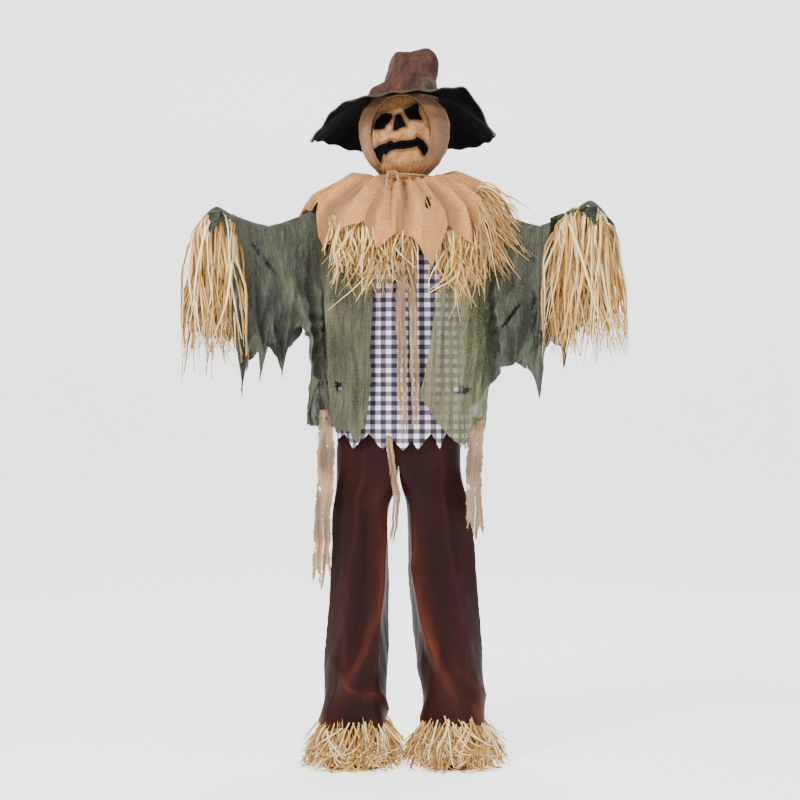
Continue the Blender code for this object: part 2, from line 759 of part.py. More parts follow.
def armholes(body, word, low, near):
    for side in (-1, 1):
        far = near + 0.2
        corner_a = (min(side * near, side * far), -0.2, low)
        corner_b = (max(side * near, side * far), 0.2, HEAD_Z)
        boolean(body, block(f"{word}_armhole_{side}", corner_a, corner_b, Matrix(), gauze()), "DIFFERENCE")


def jacket():
    """An open-fronted jacket: a C in plan, from one front edge round the back to the other."""
    count = 25
    front_gap = radians(33)
    start = -pi / 2 + front_gap
    sweep = tau - 2 * front_gap
    hem_x, deep = JACKET_HALF
    waist_z = JACKET_HEM_Z + 0.115
    levels = [(JACKET_HEM_Z, hem_x, 1.0), (waist_z, hem_x + 0.008, 1.0)]
    for below_top, wide, share in ((0.408, 1.0, 1.0), (0.258, 1.0, 1.0), (0.138, 1.0, 0.94),
                                   (0.058, 0.844, 0.80), (0.023, 0.576, 0.70), (0.0, 0.300, 0.55)):
        levels.append((JACKET_TOP_Z - below_top, JACKET_CHEST_X * wide, share))
    rows = []
    for z, half_x, share in levels:
        rows.append(ellipse((0, 0, z), half_x, deep * share, count, start, sweep, closed=False))
    rows[0] = pointed(rows[0], HEM_POINT)
    body = grid_solid("jacket", rows, CLOTH, gauze())
    armholes(body, "jacket", SHOULDER_Z - JACKET_ARMHOLE_DROP, ARMHOLE_X)


def trousers():
    """Two legs whose inner sides meet along the crotch, and one loop above it to the waist."""
    half = 8
    bm = bmesh.new()
    heights = [TROUSER_HEM_Z, TROUSER_HEM_Z + 0.068, KNEE_Z, CROTCH_Z - 0.105]
    legs = {}
    for side in (-1, 1):
        rings = []
        for z in heights:
            middle = on_leg(side, z)
            flare = lerp([(TROUSER_HEM_Z, 1.08), (KNEE_Z, 1.0), (CROTCH_Z, 1.02)], z)
            ring = []
            for k in range(2 * half):
                angle = pi / 2 + side * -tau * k / (2 * half)
                place = (middle.x + LEG_HALF_X * flare * cos(angle), LEG_HALF_Y * flare * sin(angle), z)
                ring.append(bm.verts.new(place))
            rings.append(ring)
        legs[side] = rings
    waist_x, waist_y = TROUSER_WAIST
    seam = []
    for k in range(half + 1):
        angle = pi / 2 - pi * k / half
        arch = CROTCH_ARCH * abs(sin(angle)) ** 3
        seam.append(bm.verts.new((0, (LEG_HALF_Y + CLOTH / 2) * sin(angle), CROTCH_Z + arch)))
    upper = {}
    for side in (-1, 1):
        loops = []
        for z in (CROTCH_Z + CROTCH_ARCH, TROUSER_TOP_Z):
            loop = []
            for k in range(1, half):
                angle = pi / 2 - side * pi * k / half
                loop.append(bm.verts.new((waist_x * cos(angle), waist_y * sin(angle), z)))
            loops.append(loop)
        upper[side] = loops
    ends = [(bm.verts.new((0, waist_y, TROUSER_TOP_Z)), bm.verts.new((0, -waist_y, TROUSER_TOP_Z)))]
    for side in (-1, 1):
        rings = legs[side]
        for low, high in zip(rings, rings[1:]):
            for k in range(2 * half):
                after = (k + 1) % (2 * half)
                bm.faces.new((low[k], low[after], high[after], high[k]))
        outer = [seam[0], *upper[side][0], seam[-1]]
        around = outer + seam[-2:0:-1]
        last = rings[-1]
        order = [last[k] for k in range(2 * half)]
        for k in range(2 * half):
            after = (k + 1) % (2 * half)
            bm.faces.new((order[k], order[after], around[after], around[k]))
        top = [ends[0][0], *upper[side][1], ends[0][1]]
        for k in range(half):
            bm.faces.new((outer[k], outer[k + 1], top[k + 1], top[k]))
    pair = add_object("trousers", bm, satin())
    wall = pair.modifiers.new("wall", "SOLIDIFY")
    wall.thickness = CLOTH / 2
    wall.offset = -1.0


def hanging_strip(name, stations, thickness, finish):
    """A strip that hangs: each station gives the two edge points of the strip at one height."""
    rows = []
    for left, right, y, z in stations:
        rows.append([(left, y, z), ((left + right) / 2, y - 0.002, z), (right, y, z)])
    return grid_solid(name, rows, thickness, finish, offset=0.0)


def strip(name, top_z, length, tops, bottoms, y):
    """A rag that tapers from its top edges to its bottom edges."""
    stations = []
    for share in (0.0, 0.4, 0.75, 1.0):
        left, right = (top + (bottom - top) * share for top, bottom in zip(tops, bottoms))
        stations.append((left, right, y, top_z - length * share))
    hanging_strip(name, stations, CLOTH, rag())


def rags():
    hem_x, deep = JACKET_HALF
    front = -deep - CLOTH / 2
    side_y = -deep + 5.5 * CLOTH
    strip("rag_left", HIP_Z + 0.068, 0.412, (-hem_x - 0.017, -hem_x + 0.019), (-hem_x + 0.003, -hem_x + 0.033),
          side_y - GAP * 10)
    strip("rag_right", HIP_Z + 0.050, 0.270, (hem_x - 0.045, hem_x - 0.006), (hem_x - 0.052, hem_x - 0.016),
          side_y - GAP * 10)
    strip("rag_centre_left", SHOULDER_Z - 0.020, 0.545, (-0.018, 0.008), (-0.012, 0.004), front + CLOTH)
    strip("rag_centre_right", SHOULDER_Z - 0.040, 0.505, (0.014, 0.036), (0.010, 0.030), front + CLOTH)
    strip("rag_crotch", HIP_Z + 0.038, 0.268, (-0.040, -0.020), (-0.034, -0.026), front + 4 * CLOTH)


def catmull(points, share):
    """A point of the smooth curve that runs through all the given points."""
    spans = len(points) - 1
    place = min(share * spans, spans - 1e-9)
    k = int(place)
    t = place - k
    p0 = Vector(points[max(k - 1, 0)])
    p1 = Vector(points[k])
    p2 = Vector(points[k + 1])
    p3 = Vector(points[min(k + 2, spans)])
    return 0.5 * (2 * p1 + (p2 - p0) * t + (2 * p0 - 5 * p1 + 4 * p2 - p3) * t**2
                  + (3 * p1 - p0 - 3 * p2 + p3) * t**3)


def cord_tube(name, points, count, loop=False):
    curve = bpy.data.curves.new(name, "CURVE")
    curve.dimensions = "3D"
    curve.bevel_depth = CORD_R
    curve.bevel_resolution = 2
    curve.use_fill_caps = not loop
    spline = curve.splines.new("POLY")
    spline.points.add(count - 1)
    spline.use_cyclic_u = loop
    for k in range(count):
        place = points[k] if loop else catmull(points, k / (count - 1))
        spline.points[k].co = (*place, 1.0)
    curve.materials.append(burlap())
    obj = bpy.data.objects.new(name, curve)
    bpy.context.scene.collection.objects.link(obj)
    return obj


# Routes of the two loose ends, from the knot down over the collar.
TAIL_LONG = [(-0.0370, -0.0925, 1.4975), (-0.0385, -0.1120, 1.4985), (-0.0405, -0.1290, 1.4915),
             (-0.0425, -0.1450, 1.4745), (-0.0440, -0.1580, 1.4550), (-0.0455, -0.1650, 1.4250),
             (-0.0470, -0.1720, 1.3720)]
TAIL_SHORT = [(-0.0240, -0.0925, 1.4975), (-0.0205, -0.1120, 1.4985), (-0.0175, -0.1290, 1.4915),
              (-0.0145, -0.1450, 1.4745), (-0.0120, -0.1580, 1.4550), (-0.0105, -0.1650, 1.4250)]


def neck_cord():
    ring_r = COLLAR_NECK_R + CLOTH + CORD_R + 3 * GAP
    z = NECK_Z - CORD_R
    count = 26
    points = [(ring_r * cos(tau * k / count), ring_r * sin(tau * k / count), z) for k in range(count)]
    cord_tube("neck_cord", points, count, loop=True)
    knot_rings = []
    for k in range(1, 6):
        angle = pi * k / 6
        middle = (-0.0305, -ring_r + 0.0040 - CORD_R - 0.0105, NECK_Z - 0.0075 * cos(angle))
        knot_rings.append(ellipse(middle, 0.0130 * sin(angle), 0.0080 * sin(angle), 12))
    loft("neck_cord_knot", knot_rings, burlap())
    cord_tube("neck_cord_tail_long", TAIL_LONG, 18)
    cord_tube("neck_cord_tail_short", TAIL_SHORT, 14)


# Straw


def foot_straw(side, word):
    """A skirt of straw tied round the ankle, spread on the floor round the foot plate."""
    outline = [(0.0008, FOOT_STRAW_R), (0.030, FOOT_STRAW_R * 0.80), (0.062, FOOT_STRAW_R * 0.57),
               (0.100, 0.058), (FOOT_STRAW_TOP, 0.040)]
    inner = [(FOOT_STRAW_TOP, 0.026), (0.100, 0.036), (0.050, 0.050), (0.012, FOOT_PLATE_R + 0.004),
             (0.0008, FOOT_PLATE_R + 0.004)]
    profile = [(r, z) for z, r in outline] + [(r, z) for z, r in inner]
    bundle = turned(f"straw_foot_{word}", profile, (side * FOOT_X, 0, 0), (0, 0, 1), straw(), 24, hollow=True)
    return bundle


def chest_straw(name, low_x, high_x, low_z, high_z, y):
    """A fringe of straw that hangs over the chest from under the collar."""
    rows = []
    steps = 5
    for i, share in enumerate((0.0, 0.5, 1.0)):
        row = []
        for k in range(steps):
            x = low_x + (high_x - low_x) * k / (steps - 1)
            curve = (x / JACKET_CHEST_X) ** 2 * 0.045
            ragged = 0.018 * (k % 2) if share == 0.0 else 0.0
            row.append((x, y + curve, low_z + (high_z - low_z) * share + ragged))
        rows.append(row)
    return grid_solid(name, rows, 0.010, straw(), offset=0.0)


def torso_straw():
    front = -JACKET_HALF[1] - 3.5 * CLOTH
    chest_straw("straw_chest_left", -0.192, 0.012, SHOULDER_Z - 0.215, SHOULDER_Z - 0.020, front)
    chest_straw("straw_chest_right", 0.082, 0.178, SHOULDER_Z - 0.235, SHOULDER_Z - 0.050, front)


def build():
    clear_scene()
    for side, word in ((-1, "left"), (1, "right")):
        leg(side, word)
        arm(side, word)
        foot_straw(side, word)
    hip_bar()
    spine_and_shoulder_bar()
    head()
    hat()
    collar()
    shirt()
    jacket()
    trousers()
    rags()
    neck_cord()
    torso_straw()


build()
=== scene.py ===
"""Standing scarecrow: straw, sacking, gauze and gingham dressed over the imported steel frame.

Metres, +Z up, the front faces -Y. Left means the -X side and right the +X side. Every soft piece is a
surface worked out as whole arrays, in the space that the CAD piece it stands for holds.
"""
import json
from math import cos, pi, radians, sin, tau

import bmesh
import bpy
import numpy as np
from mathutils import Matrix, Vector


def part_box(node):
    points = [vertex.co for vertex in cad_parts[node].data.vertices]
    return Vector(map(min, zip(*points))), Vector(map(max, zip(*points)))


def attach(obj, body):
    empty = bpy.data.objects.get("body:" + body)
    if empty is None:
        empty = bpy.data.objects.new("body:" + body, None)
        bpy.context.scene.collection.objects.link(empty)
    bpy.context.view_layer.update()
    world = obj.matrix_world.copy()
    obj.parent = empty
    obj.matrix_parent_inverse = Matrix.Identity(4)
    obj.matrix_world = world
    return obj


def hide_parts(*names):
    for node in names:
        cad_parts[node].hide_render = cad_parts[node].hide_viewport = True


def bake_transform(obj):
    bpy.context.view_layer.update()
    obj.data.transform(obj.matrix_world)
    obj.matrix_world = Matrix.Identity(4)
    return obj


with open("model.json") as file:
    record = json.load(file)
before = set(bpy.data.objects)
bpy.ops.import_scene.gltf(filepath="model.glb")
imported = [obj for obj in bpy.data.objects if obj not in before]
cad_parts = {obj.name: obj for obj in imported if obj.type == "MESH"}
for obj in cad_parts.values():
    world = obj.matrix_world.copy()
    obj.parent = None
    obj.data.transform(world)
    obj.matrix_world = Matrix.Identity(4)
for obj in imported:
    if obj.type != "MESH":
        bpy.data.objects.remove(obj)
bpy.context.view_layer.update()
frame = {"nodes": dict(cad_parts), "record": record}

FRONT = np.array((0.0, -1.0, 0.0))
UP = np.array((0.0, 0.0, 1.0))
EYE_HEIGHT = 0.93
EYE_AWAY = 5.0
EYE_SIDE = -0.0102
LENS = 88.2
SKY_STRENGTH = 0.42
CLOTH = 0.0012
SACKING = 0.0022
FELT_THICK = 0.0030

ARM_YAW = radians(35)
SHOULDER_X = 0.185
SHOULDER_Z = 1.41556
UPPER_SLOPE = radians(-21)
FORE_SLOPE = {-1: radians(15), 1: radians(21)}
UPPER_ARM = 0.200
ARM_TUBE_R = 0.011
WRIST = 0.335
SLEEVE_START = -0.020
SLEEVE_END = 0.400
SLEEVE_DROP = 0.38
BEND_REACH = 0.045

BRIM_Z = 1.7035
COLLAR_Z = 1.500
JACKET_Z = 1.474
SHIRT_Z = 1.452
WAIST_Z = 0.898
CROTCH = 0.772
CROTCH_SIDE = -0.014

TAIL_LONG = [(-0.0370, -0.0925, 1.4975), (-0.0385, -0.1120, 1.4985), (-0.0405, -0.1290, 1.4915),
             (-0.0425, -0.1450, 1.4745), (-0.0440, -0.1580, 1.4550), (-0.0455, -0.1650, 1.4250),
             (-0.0470, -0.1720, 1.3720)]
TAIL_SHORT = [(-0.0240, -0.0925, 1.4975), (-0.0205, -0.1120, 1.4985), (-0.0175, -0.1290, 1.4915),
              (-0.0145, -0.1450, 1.4745), (-0.0120, -0.1580, 1.4550), (-0.0105, -0.1650, 1.4250)]
CORD_R = 0.0035
STRAW_THICK = 0.0013
SHADED_SHARE = 0.42


# Numbers


def ramp(low, high, value):
    """0 below low, 1 above high, and the smooth cubic 3t^2 - 2t^3 between them."""
    t = np.clip((np.asarray(value, float) - low) / (high - low), 0.0, 1.0)
    return t * t * (3.0 - 2.0 * t)


def bump(value, middle, width):
    """A bell of height 1 at the middle: exp(-(distance / width)^2)."""
    return np.exp(-(((np.asarray(value, float) - middle) / width) ** 2))


def lattice(i, j, seed):
    """A repeatable number from 0 to 1 for each whole pair (i, j)."""
    i = i.astype(np.int64).astype(np.uint32)
    j = j.astype(np.int64).astype(np.uint32)
    h = i * np.uint32(374761393) + j * np.uint32(668265263) + np.uint32(seed * 2246822519 % 4294967296)
    h = (h ^ (h >> np.uint32(13))) * np.uint32(1274126177)
    h = h ^ (h >> np.uint32(16))
    return (h & np.uint32(0xFFFFFF)).astype(float) / 0xFFFFFF


def ripple(x, y, seed=0, octaves=3):
    """Soft noise from -1 to 1: lattice values blended by the smooth cubic, with finer halves added."""
    x, y = np.broadcast_arrays(np.asarray(x, float), np.asarray(y, float))
    total = np.zeros(x.shape)
    share = 1.0
    full = 0.0
    for octave in range(octaves):
        i, j = np.floor(x), np.floor(y)
        a, b = ramp(0, 1, x - i), ramp(0, 1, y - j)
        k = seed + 17 * octave
        low = lattice(i, j, k) * (1 - a) + lattice(i + 1, j, k) * a
        high = lattice(i, j + 1, k) * (1 - a) + lattice(i + 1, j + 1, k) * a
        total += share * (2.0 * (low * (1 - b) + high * b) - 1.0)
        full += share
        share *= 0.5
        x, y = 2.03 * x + 5.1, 2.03 * y + 3.7
    return total / full


def ridge(value):
    """Folds: a sine whose crests are rounder and whose valleys are sharper."""
    return 1.0 - 2.0 * np.abs(np.sin(value / 2.0)) ** 0.8


def unit(vectors):
    return vectors / np.maximum(np.linalg.norm(vectors, axis=-1, keepdims=True), 1e-12)


def together(*parts):
    """Arrays that go along rows, along columns or over both, side by side as one array of points."""
    return np.stack(np.broadcast_arrays(*parts), -1)


def corners(node):
    """The low and the high corner of a CAD piece's box."""
    low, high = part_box(node)
    return np.array(low), np.array(high)


def smooth_line(points, count):
    """The smooth curve through the given points, read at even steps of its length."""
    p = np.array(points, float)
    p = np.vstack((2 * p[0] - p[1], p, 2 * p[-1] - p[-2]))
    t = np.linspace(0, 1, 24, endpoint=False)[:, None]
    parts = []
    for a, b, c, d in zip(p, p[1:], p[2:], p[3:]):
        square, cube = 2 * a - 5 * b + 4 * c - d, 3 * b - a - 3 * c + d
        parts.append(0.5 * (2 * b + (c - a) * t + square * t**2 + cube * t**3))
    line = np.vstack((*parts, p[-2]))
    run = np.concatenate(([0.0], np.cumsum(np.linalg.norm(np.diff(line, axis=0), axis=1))))
    even = np.linspace(0, run[-1], count)
    return np.stack([np.interp(even, run, line[:, k]) for k in range(line.shape[1])], axis=1)


def inside_distance(x, z, outline):
    """Signed distance to a closed outline, positive inside it: the nearest of its straight edges, with the
    sign from an even-odd count of the edges crossed."""
    points = np.array(outline, float)
    after = np.roll(points, -1, axis=0)
    nearest = np.full(x.shape, 9.0)
    crossed = np.zeros(x.shape, bool)
    for (ax, az), (bx, bz) in zip(points, after):
        dx, dz = bx - ax, bz - az
        share = np.clip(((x - ax) * dx + (z - az) * dz) / (dx * dx + dz * dz), 0, 1)
        nearest = np.minimum(nearest, np.hypot(x - ax - share * dx, z - az - share * dz))
        if az != bz:
            meets = ax + (z - az) * dx / dz
            crossed ^= ((az > z) != (bz > z)) & (x < meets)
    return np.where(crossed, nearest, -nearest)


# Meshes


def finished(name, mesh, finish, smooth=True):
    mesh.validate()
    if smooth:
        mesh.shade_smooth()
    mesh.materials.append(finish)
    obj = bpy.data.objects.new(name, mesh)
    bpy.context.scene.collection.objects.link(obj)
    return obj


def mesh_from(name, points, faces, uv=None, tone=None):
    """A mesh of four-sided faces from arrays of points and corner numbers."""
    mesh = bpy.data.meshes.new(name)
    mesh.vertices.add(len(points))
    mesh.vertices.foreach_set("co", np.ascontiguousarray(points, np.float32).ravel())
    mesh.loops.add(faces.size)
    mesh.loops.foreach_set("vertex_index", np.ascontiguousarray(faces, np.int32).ravel())
    mesh.polygons.add(len(faces))
    mesh.polygons.foreach_set("loop_start", np.arange(0, faces.size, 4, dtype=np.int32))
    mesh.update(calc_edges=True)
    if uv is not None:
        layer = mesh.uv_layers.new(name="weave")
        layer.data.foreach_set("uv", np.ascontiguousarray(uv[faces.ravel()], np.float32).ravel())
    if tone is not None:
        field = mesh.attributes.new("tone", "FLOAT", "POINT")
        field.data.foreach_set("value", np.ascontiguousarray(tone, np.float32).ravel())
    return mesh


def grid_faces(rows, columns, loop=False):
    """Corner numbers of a grid's cells, row by row. A loop joins the last column to the first."""
    i = np.arange(rows - 1)[:, None]
    j = np.arange(columns if loop else columns - 1)[None, :]
    after = (j + 1) % columns
    low, high = i * columns, (i + 1) * columns
    return np.stack((low + j, low + after, high + after, high + j), axis=-1)


def facing_out(mesh, weld=None):
    """Turns every face outwards, after joining the points that lie closer than weld."""
    work = bmesh.new()
    work.from_mesh(mesh)
    if weld:
        bmesh.ops.remove_doubles(work, verts=work.verts, dist=weld)
    bmesh.ops.recalc_face_normals(work, faces=work.faces)
    work.to_mesh(mesh)
    work.free()


def walled(obj, thickness, offset):
    """Gives a sheet its thickness: half to each side at offset 0, all of it inwards at -1."""
    wall = obj.modifiers.new("wall", "SOLIDIFY")
    wall.thickness = thickness
    wall.offset = offset
    return wall


def cloth(name, points, finish, thickness=CLOTH, loop=False, keep=None, uv=None, tone=None, flip=False,
          offset=0.0):
    """A sheet on a grid of points. keep says which cells stay, uv is the cloth's own place in metres, and
    tone is a value for the finish at each point."""
    rows, columns = points.shape[:2]
    cells = grid_faces(rows, columns, loop)
    faces = cells[keep] if keep is not None else cells.reshape(-1, 4)
    if flip:
        faces = faces[:, ::-1]
    used, numbers = np.unique(faces, return_inverse=True)
    flat_uv = None if uv is None else uv.reshape(-1, 2)[used]
    flat_tone = None if tone is None else tone.reshape(-1)[used]
    mesh = mesh_from(name, points.reshape(-1, 3)[used], numbers.reshape(-1, 4), flat_uv, flat_tone)
    obj = finished(name, mesh, finish)
    walled(obj, thickness, offset)
    return obj


def strands(name, lines, width, thick, finish, facing, rng, taper=0.35, lit=1.0):
    """Straw: each strand is a diamond-section ribbon along its own line, wide across and thin towards
    facing, that narrows to its tip and turns a little on the way. lines is (strands, steps, 3), and lit is
    painted shade that darkens the strands that lie deep in the bunch."""
    count, steps = lines.shape[:2]
    along = unit(np.gradient(lines, axis=1))
    side = unit(np.cross(along, facing))
    front = unit(np.cross(side, along))
    t = np.linspace(0, 1, steps)[None, :]
    turn = rng.uniform(-1.1, 1.1, (count, 1)) + rng.uniform(-1.6, 1.6, (count, 1)) * t
    across = side * np.cos(turn)[..., None] + front * np.sin(turn)[..., None]
    out = front * np.cos(turn)[..., None] - side * np.sin(turn)[..., None]
    narrow = (1 - (1 - taper) * ramp(0.55, 1.0, t)) * ramp(-0.06, 0.05, t)
    size = rng.uniform(0.55, 1.25, (count, 1)) * narrow
    half_w = (size * width / 2)[..., None]
    half_t = (size * thick / 2)[..., None]
    wide, deep = across * half_w, out * half_t
    points = np.stack((lines + wide, lines + deep, lines - wide, lines - deep), 2).reshape(-1, 3)
    base = (np.arange(count) * steps * 4)[:, None, None]
    i = np.arange(steps - 1)[None, :, None] * 4
    k = np.arange(4)[None, None, :]
    after = (k + 1) % 4
    corner = base + i
    faces = np.stack((corner + k, corner + 4 + k, corner + 4 + after, corner + after), -1).reshape(-1, 4)
    start = (np.arange(count) * steps * 4)[:, None]
    caps = np.vstack((start + np.array((0, 1, 2, 3)), start + (steps - 1) * 4 + np.array((3, 2, 1, 0))))
    shaded = rng.uniform(0, 1, count) < SHADED_SHARE
    own = np.where(shaded, rng.uniform(0.0, 0.26, count), rng.uniform(0.46, 1.0, count))
    tone = np.repeat(own * lit, steps * 4)
    v = np.repeat((t * np.ones((count, 1)))[..., None], 4, axis=2).ravel()
    uv = np.stack((np.tile((0.0, 0.33, 0.67, 1.0), count * steps), v), 1)
    mesh = mesh_from(name, points, np.vstack((faces, caps)), uv, tone)
    return finished(name, mesh, finish)


def hanging_lines(rng, roots, tips, steps=9, bow=0.02, curl=0.01, droop=0.0):
    """Strand lines from roots to tips: straight, plus a bow that is widest halfway, plus small curls, and a
    droop that carries the middle upwards of the straight run."""
    t = np.linspace(0, 1, steps)[None, :, None]
    lines = roots[:, None] * (1 - t) + tips[:, None] * t
    count = len(roots)
    lines = lines + rng.normal(0, bow, (count, 1, 3)) * np.sin(pi * t)
    phase = rng.uniform(0, tau, (count, 1, 3))
    lines = lines + rng.normal(0, curl, (count, 1, 3)) * (np.sin(7.0 * t + phase) - np.sin(phase)) * t
    return lines + UP * droop * np.sin(pi * t**0.7)


def kinked(rng, lines, bow, kink):
    """Strand lines with a soft bow, and one or two bends past which a strand runs off another way."""
    count, steps = lines.shape[:2]
    t = np.linspace(0, 1, steps)[None, :, None]
    reach = np.linalg.norm(lines[:, -1] - lines[:, 0], axis=1)[:, None, None]
    lines = lines + reach * rng.normal(0, bow, (count, 1, 3)) * np.sin(pi * t)
    for first, last in ((0.22, 0.55), (0.55, 0.9)):
        at = rng.uniform(first, last, (count, 1, 1))
        turn = rng.normal(0, kink, (count, 1, 3)) * (1.0, 0.8, 0.35)
        lines = lines + reach * turn * np.maximum(0.0, t - at)
    return lines


def rope(name, line, radius, finish, loop=False, pitch=0.011, around=14):
    """Two-ply cord along a line: a round section with two lobes that turn once every two pitches."""
    steps = len(line)
    along = np.gradient(line, axis=0)
    if loop:
        along = np.roll(line, -1, axis=0) - np.roll(line, 1, axis=0)
    along = unit(along)
    reference = np.where(np.abs(along @ UP)[:, None] > 0.9, -FRONT, UP)
    side = unit(np.cross(along, reference))
    front = np.cross(side, along)
    gaps = np.linalg.norm(np.diff(line, axis=0), axis=1)
    run = np.concatenate(([0.0], np.cumsum(gaps)))
    turns = run * pi / pitch
    if loop:
        whole = run[-1] + np.linalg.norm(line[0] - line[-1])
        turns = run * tau * round(whole / (2 * pitch)) / whole
    angle = np.linspace(0, tau, around, endpoint=False)[None, :]
    lobes = 0.84 + 0.16 * np.abs(np.cos(angle - turns[:, None]))
    r = radius * lobes[..., None]
    turned = side[:, None] * np.cos(angle)[..., None] + front[:, None] * np.sin(angle)[..., None]
    points = line[:, None] + r * turned
    faces = grid_faces(steps, around, loop=True).reshape(-1, 4)
    points = points.reshape(-1, 3)
    last = (steps - 1) * around
    if loop:
        k = np.arange(around)
        after = (k + 1) % around
        faces = np.vstack((faces, np.stack((last + k, last + after, after, k), 1)))
    else:
        first, end = len(points), len(points) + 1
        points = np.vstack((points, line[0], line[-1]))
        k = np.arange(0, around, 2)
        caps_a = np.stack((np.full(len(k), first), (k + 2) % around, k + 1, k), 1)
        caps_b = np.stack((np.full(len(k), end), last + k, last + k + 1, last + (k + 2) % around), 1)
        faces = np.vstack((faces, caps_a, caps_b))
    uv = np.stack((np.tile(angle.ravel() / tau, steps), np.repeat(run, around)), 1)
    if not loop:
        uv = np.vstack((uv, uv[:1], uv[-1:]))
    mesh = mesh_from(name, points, faces, uv)
    facing_out(mesh)
    return finished(name, mesh, finish)


# Materials


class Value:
    """A node's output that takes part in Python sums: each operator adds one Math node."""

    def __init__(self, finish, socket):
        self.finish = finish
        self.socket = socket

    def _sum(self, operation, first, second=None):
        inputs = {0: first} if second is None else {0: first, 1: second}
        return self.finish.add("ShaderNodeMath", {"operation": operation}, inputs)

    def __add__(self, other):
        return self._sum("ADD", self, other)

    def __radd__(self, other):
        return self._sum("ADD", other, self)

    def __sub__(self, other):
        return self._sum("SUBTRACT", self, other)

    def __rsub__(self, other):
        return self._sum("SUBTRACT", other, self)

    def __mul__(self, other):
        return self._sum("MULTIPLY", self, other)

    def __rmul__(self, other):
        return self._sum("MULTIPLY", other, self)

    def __truediv__(self, other):
        return self._sum("DIVIDE", self, other)

    def __pow__(self, other):
        return self._sum("POWER", self, other)

    def __abs__(self):
        return self._sum("ABSOLUTE", self)

    def __gt__(self, other):
        return self._sum("GREATER_THAN", self, other)

    def sine(self):
        return self._sum("SINE", self)

    def clear(self, low, high):
        """0 below low and 1 above high, smooth between them."""
        settings = {"interpolation_type": "SMOOTHSTEP"}
        inputs = {"Value": self, "From Min": low, "From Max": high}
        return self.finish.add("ShaderNodeMapRange", settings, inputs)


class Finish:
    """A material being made: a Principled shader, and one method that adds any other node."""

    def __init__(self, name, roughness=0.9, **constants):
        self.material = bpy.data.materials.new(name)
        self.material.use_nodes = True
        self.tree = self.material.node_tree
        self.shader = self.tree.nodes["Principled BSDF"]
        self.shader.inputs["Roughness"].default_value = roughness
        for socket, value in constants.items():
            self.shader.inputs[socket.replace("_", " ").title()].default_value = value

    def add(self, kind, settings=None, inputs=None, output=0):
        node = self.tree.nodes.new(kind)
        for key, value in (settings or {}).items():
            if key == "stops":
                self._set_stops(node.color_ramp, value)
            else:
                setattr(node, key, value)
        for key, value in (inputs or {}).items():
            self._feed(node.inputs[key], value)
        return Value(self, node.outputs[output])

    def _set_stops(self, colours, stops):
        while len(colours.elements) < len(stops):
            colours.elements.new(1.0)
        for element, (place, colour) in zip(colours.elements, stops):
            element.position = place
            element.color = (*colour, 1.0)

    def _feed(self, socket, value):
        if isinstance(value, Value):
            self.tree.links.new(value.socket, socket)
        else:
            socket.default_value = value

    def shade(self, **sockets):
        for key, value in sockets.items():
            self._feed(self.shader.inputs[key.replace("_", " ").title()], value)
        return self.material

    def place(self, scale=(1.0, 1.0, 1.0), turn=(0.0, 0.0, 0.0)):
        """Object coordinates, stretched and turned by a Mapping node."""
        spot = self.add("ShaderNodeTexCoord", output="Object")
        return self.add("ShaderNodeMapping", None, {"Vector": spot, "Scale": scale, "Rotation": turn})

    def cloth_place(self, scale=(1.0, 1.0, 1.0)):
        spot = self.add("ShaderNodeUVMap", {"uv_map": "weave"})
        return self.add("ShaderNodeMapping", None, {"Vector": spot, "Scale": scale})

    def noise(self, where, scale, detail=3.0, rough=0.55):
        return self.add("ShaderNodeTexNoise", None, {"Vector": where, "Scale": scale, "Detail": detail,
                                                     "Roughness": rough})

    def split(self, where):
        return [self.add("ShaderNodeSeparateXYZ", None, {0: where}, k) for k in range(3)]

    def mix(self, share, first, second, blend="MIX"):
        """A colour between two colours. The Mix node's colour sockets are its sixth and seventh."""
        first, second = (c if isinstance(c, Value) else (*c, 1.0) for c in (first, second))
        settings = {"data_type": "RGBA", "blend_type": blend, "clamp_factor": True}
        return self.add("ShaderNodeMix", settings, {0: share, 6: first, 7: second}, 2)

    def colours(self, value, *stops):
        return self.add("ShaderNodeValToRGB", {"stops": stops}, {0: value})

    def relief(self, height, distance, strength=1.0, under=None):
        inputs = {"Height": height, "Distance": distance, "Strength": strength}
        if under is not None:
            inputs["Normal"] = under
        return self.add("ShaderNodeBump", None, inputs)

    def threads(self, where, pitch):
        """Plain weave: two sets of round threads, each on top of the other in turn like a chessboard."""
        u, v, _ = self.split(where)
        warp = (u * (pi / pitch)).sine()
        weft = (v * (pi / pitch)).sine()
        over = (warp * weft) > 0.0
        return over * abs(warp) ** 0.6 + (1.0 - over) * abs(weft) ** 0.6


def sacking(name, light, dark, pitch=0.0032, blotch=0.5):
    finish = Finish(name, 0.95, sheen_weight=0.15, sheen_roughness=0.6)
    where = finish.cloth_place()
    weave = finish.threads(where, pitch)
    slub_a = finish.noise(finish.cloth_place((50, 420, 1)), 1.0, 2.0)
    slub_b = finish.noise(finish.cloth_place((420, 50, 1)), 1.0, 2.0)
    blot = finish.noise(finish.place(), 14.0, 4.0)
    # Painted shade: where the tone map is high, the colour darkens towards the dark colour. That is in
    # creases and hollows, and on the hood round its face opening and over its right side.
    painted_shade = finish.add("ShaderNodeAttribute", {"attribute_name": "tone"}, output="Fac")
    tone = 0.30 * weave + 0.35 * slub_a + 0.35 * slub_b
    base = finish.colours(tone, (0.25, dark), (0.62, light), (0.85, tuple(1.18 * c for c in light)))
    stained = finish.mix(blot.clear(0.52, 0.75) * blotch, base, dark)
    colour = finish.mix(painted_shade * 0.62, stained, tuple(0.55 * c for c in dark))
    bumps = finish.relief(weave + 0.8 * slub_a + 0.8 * slub_b, 0.0022, 1.0)
    return finish.shade(base_color=colour, normal=bumps, roughness=0.86 + 0.12 * slub_a)


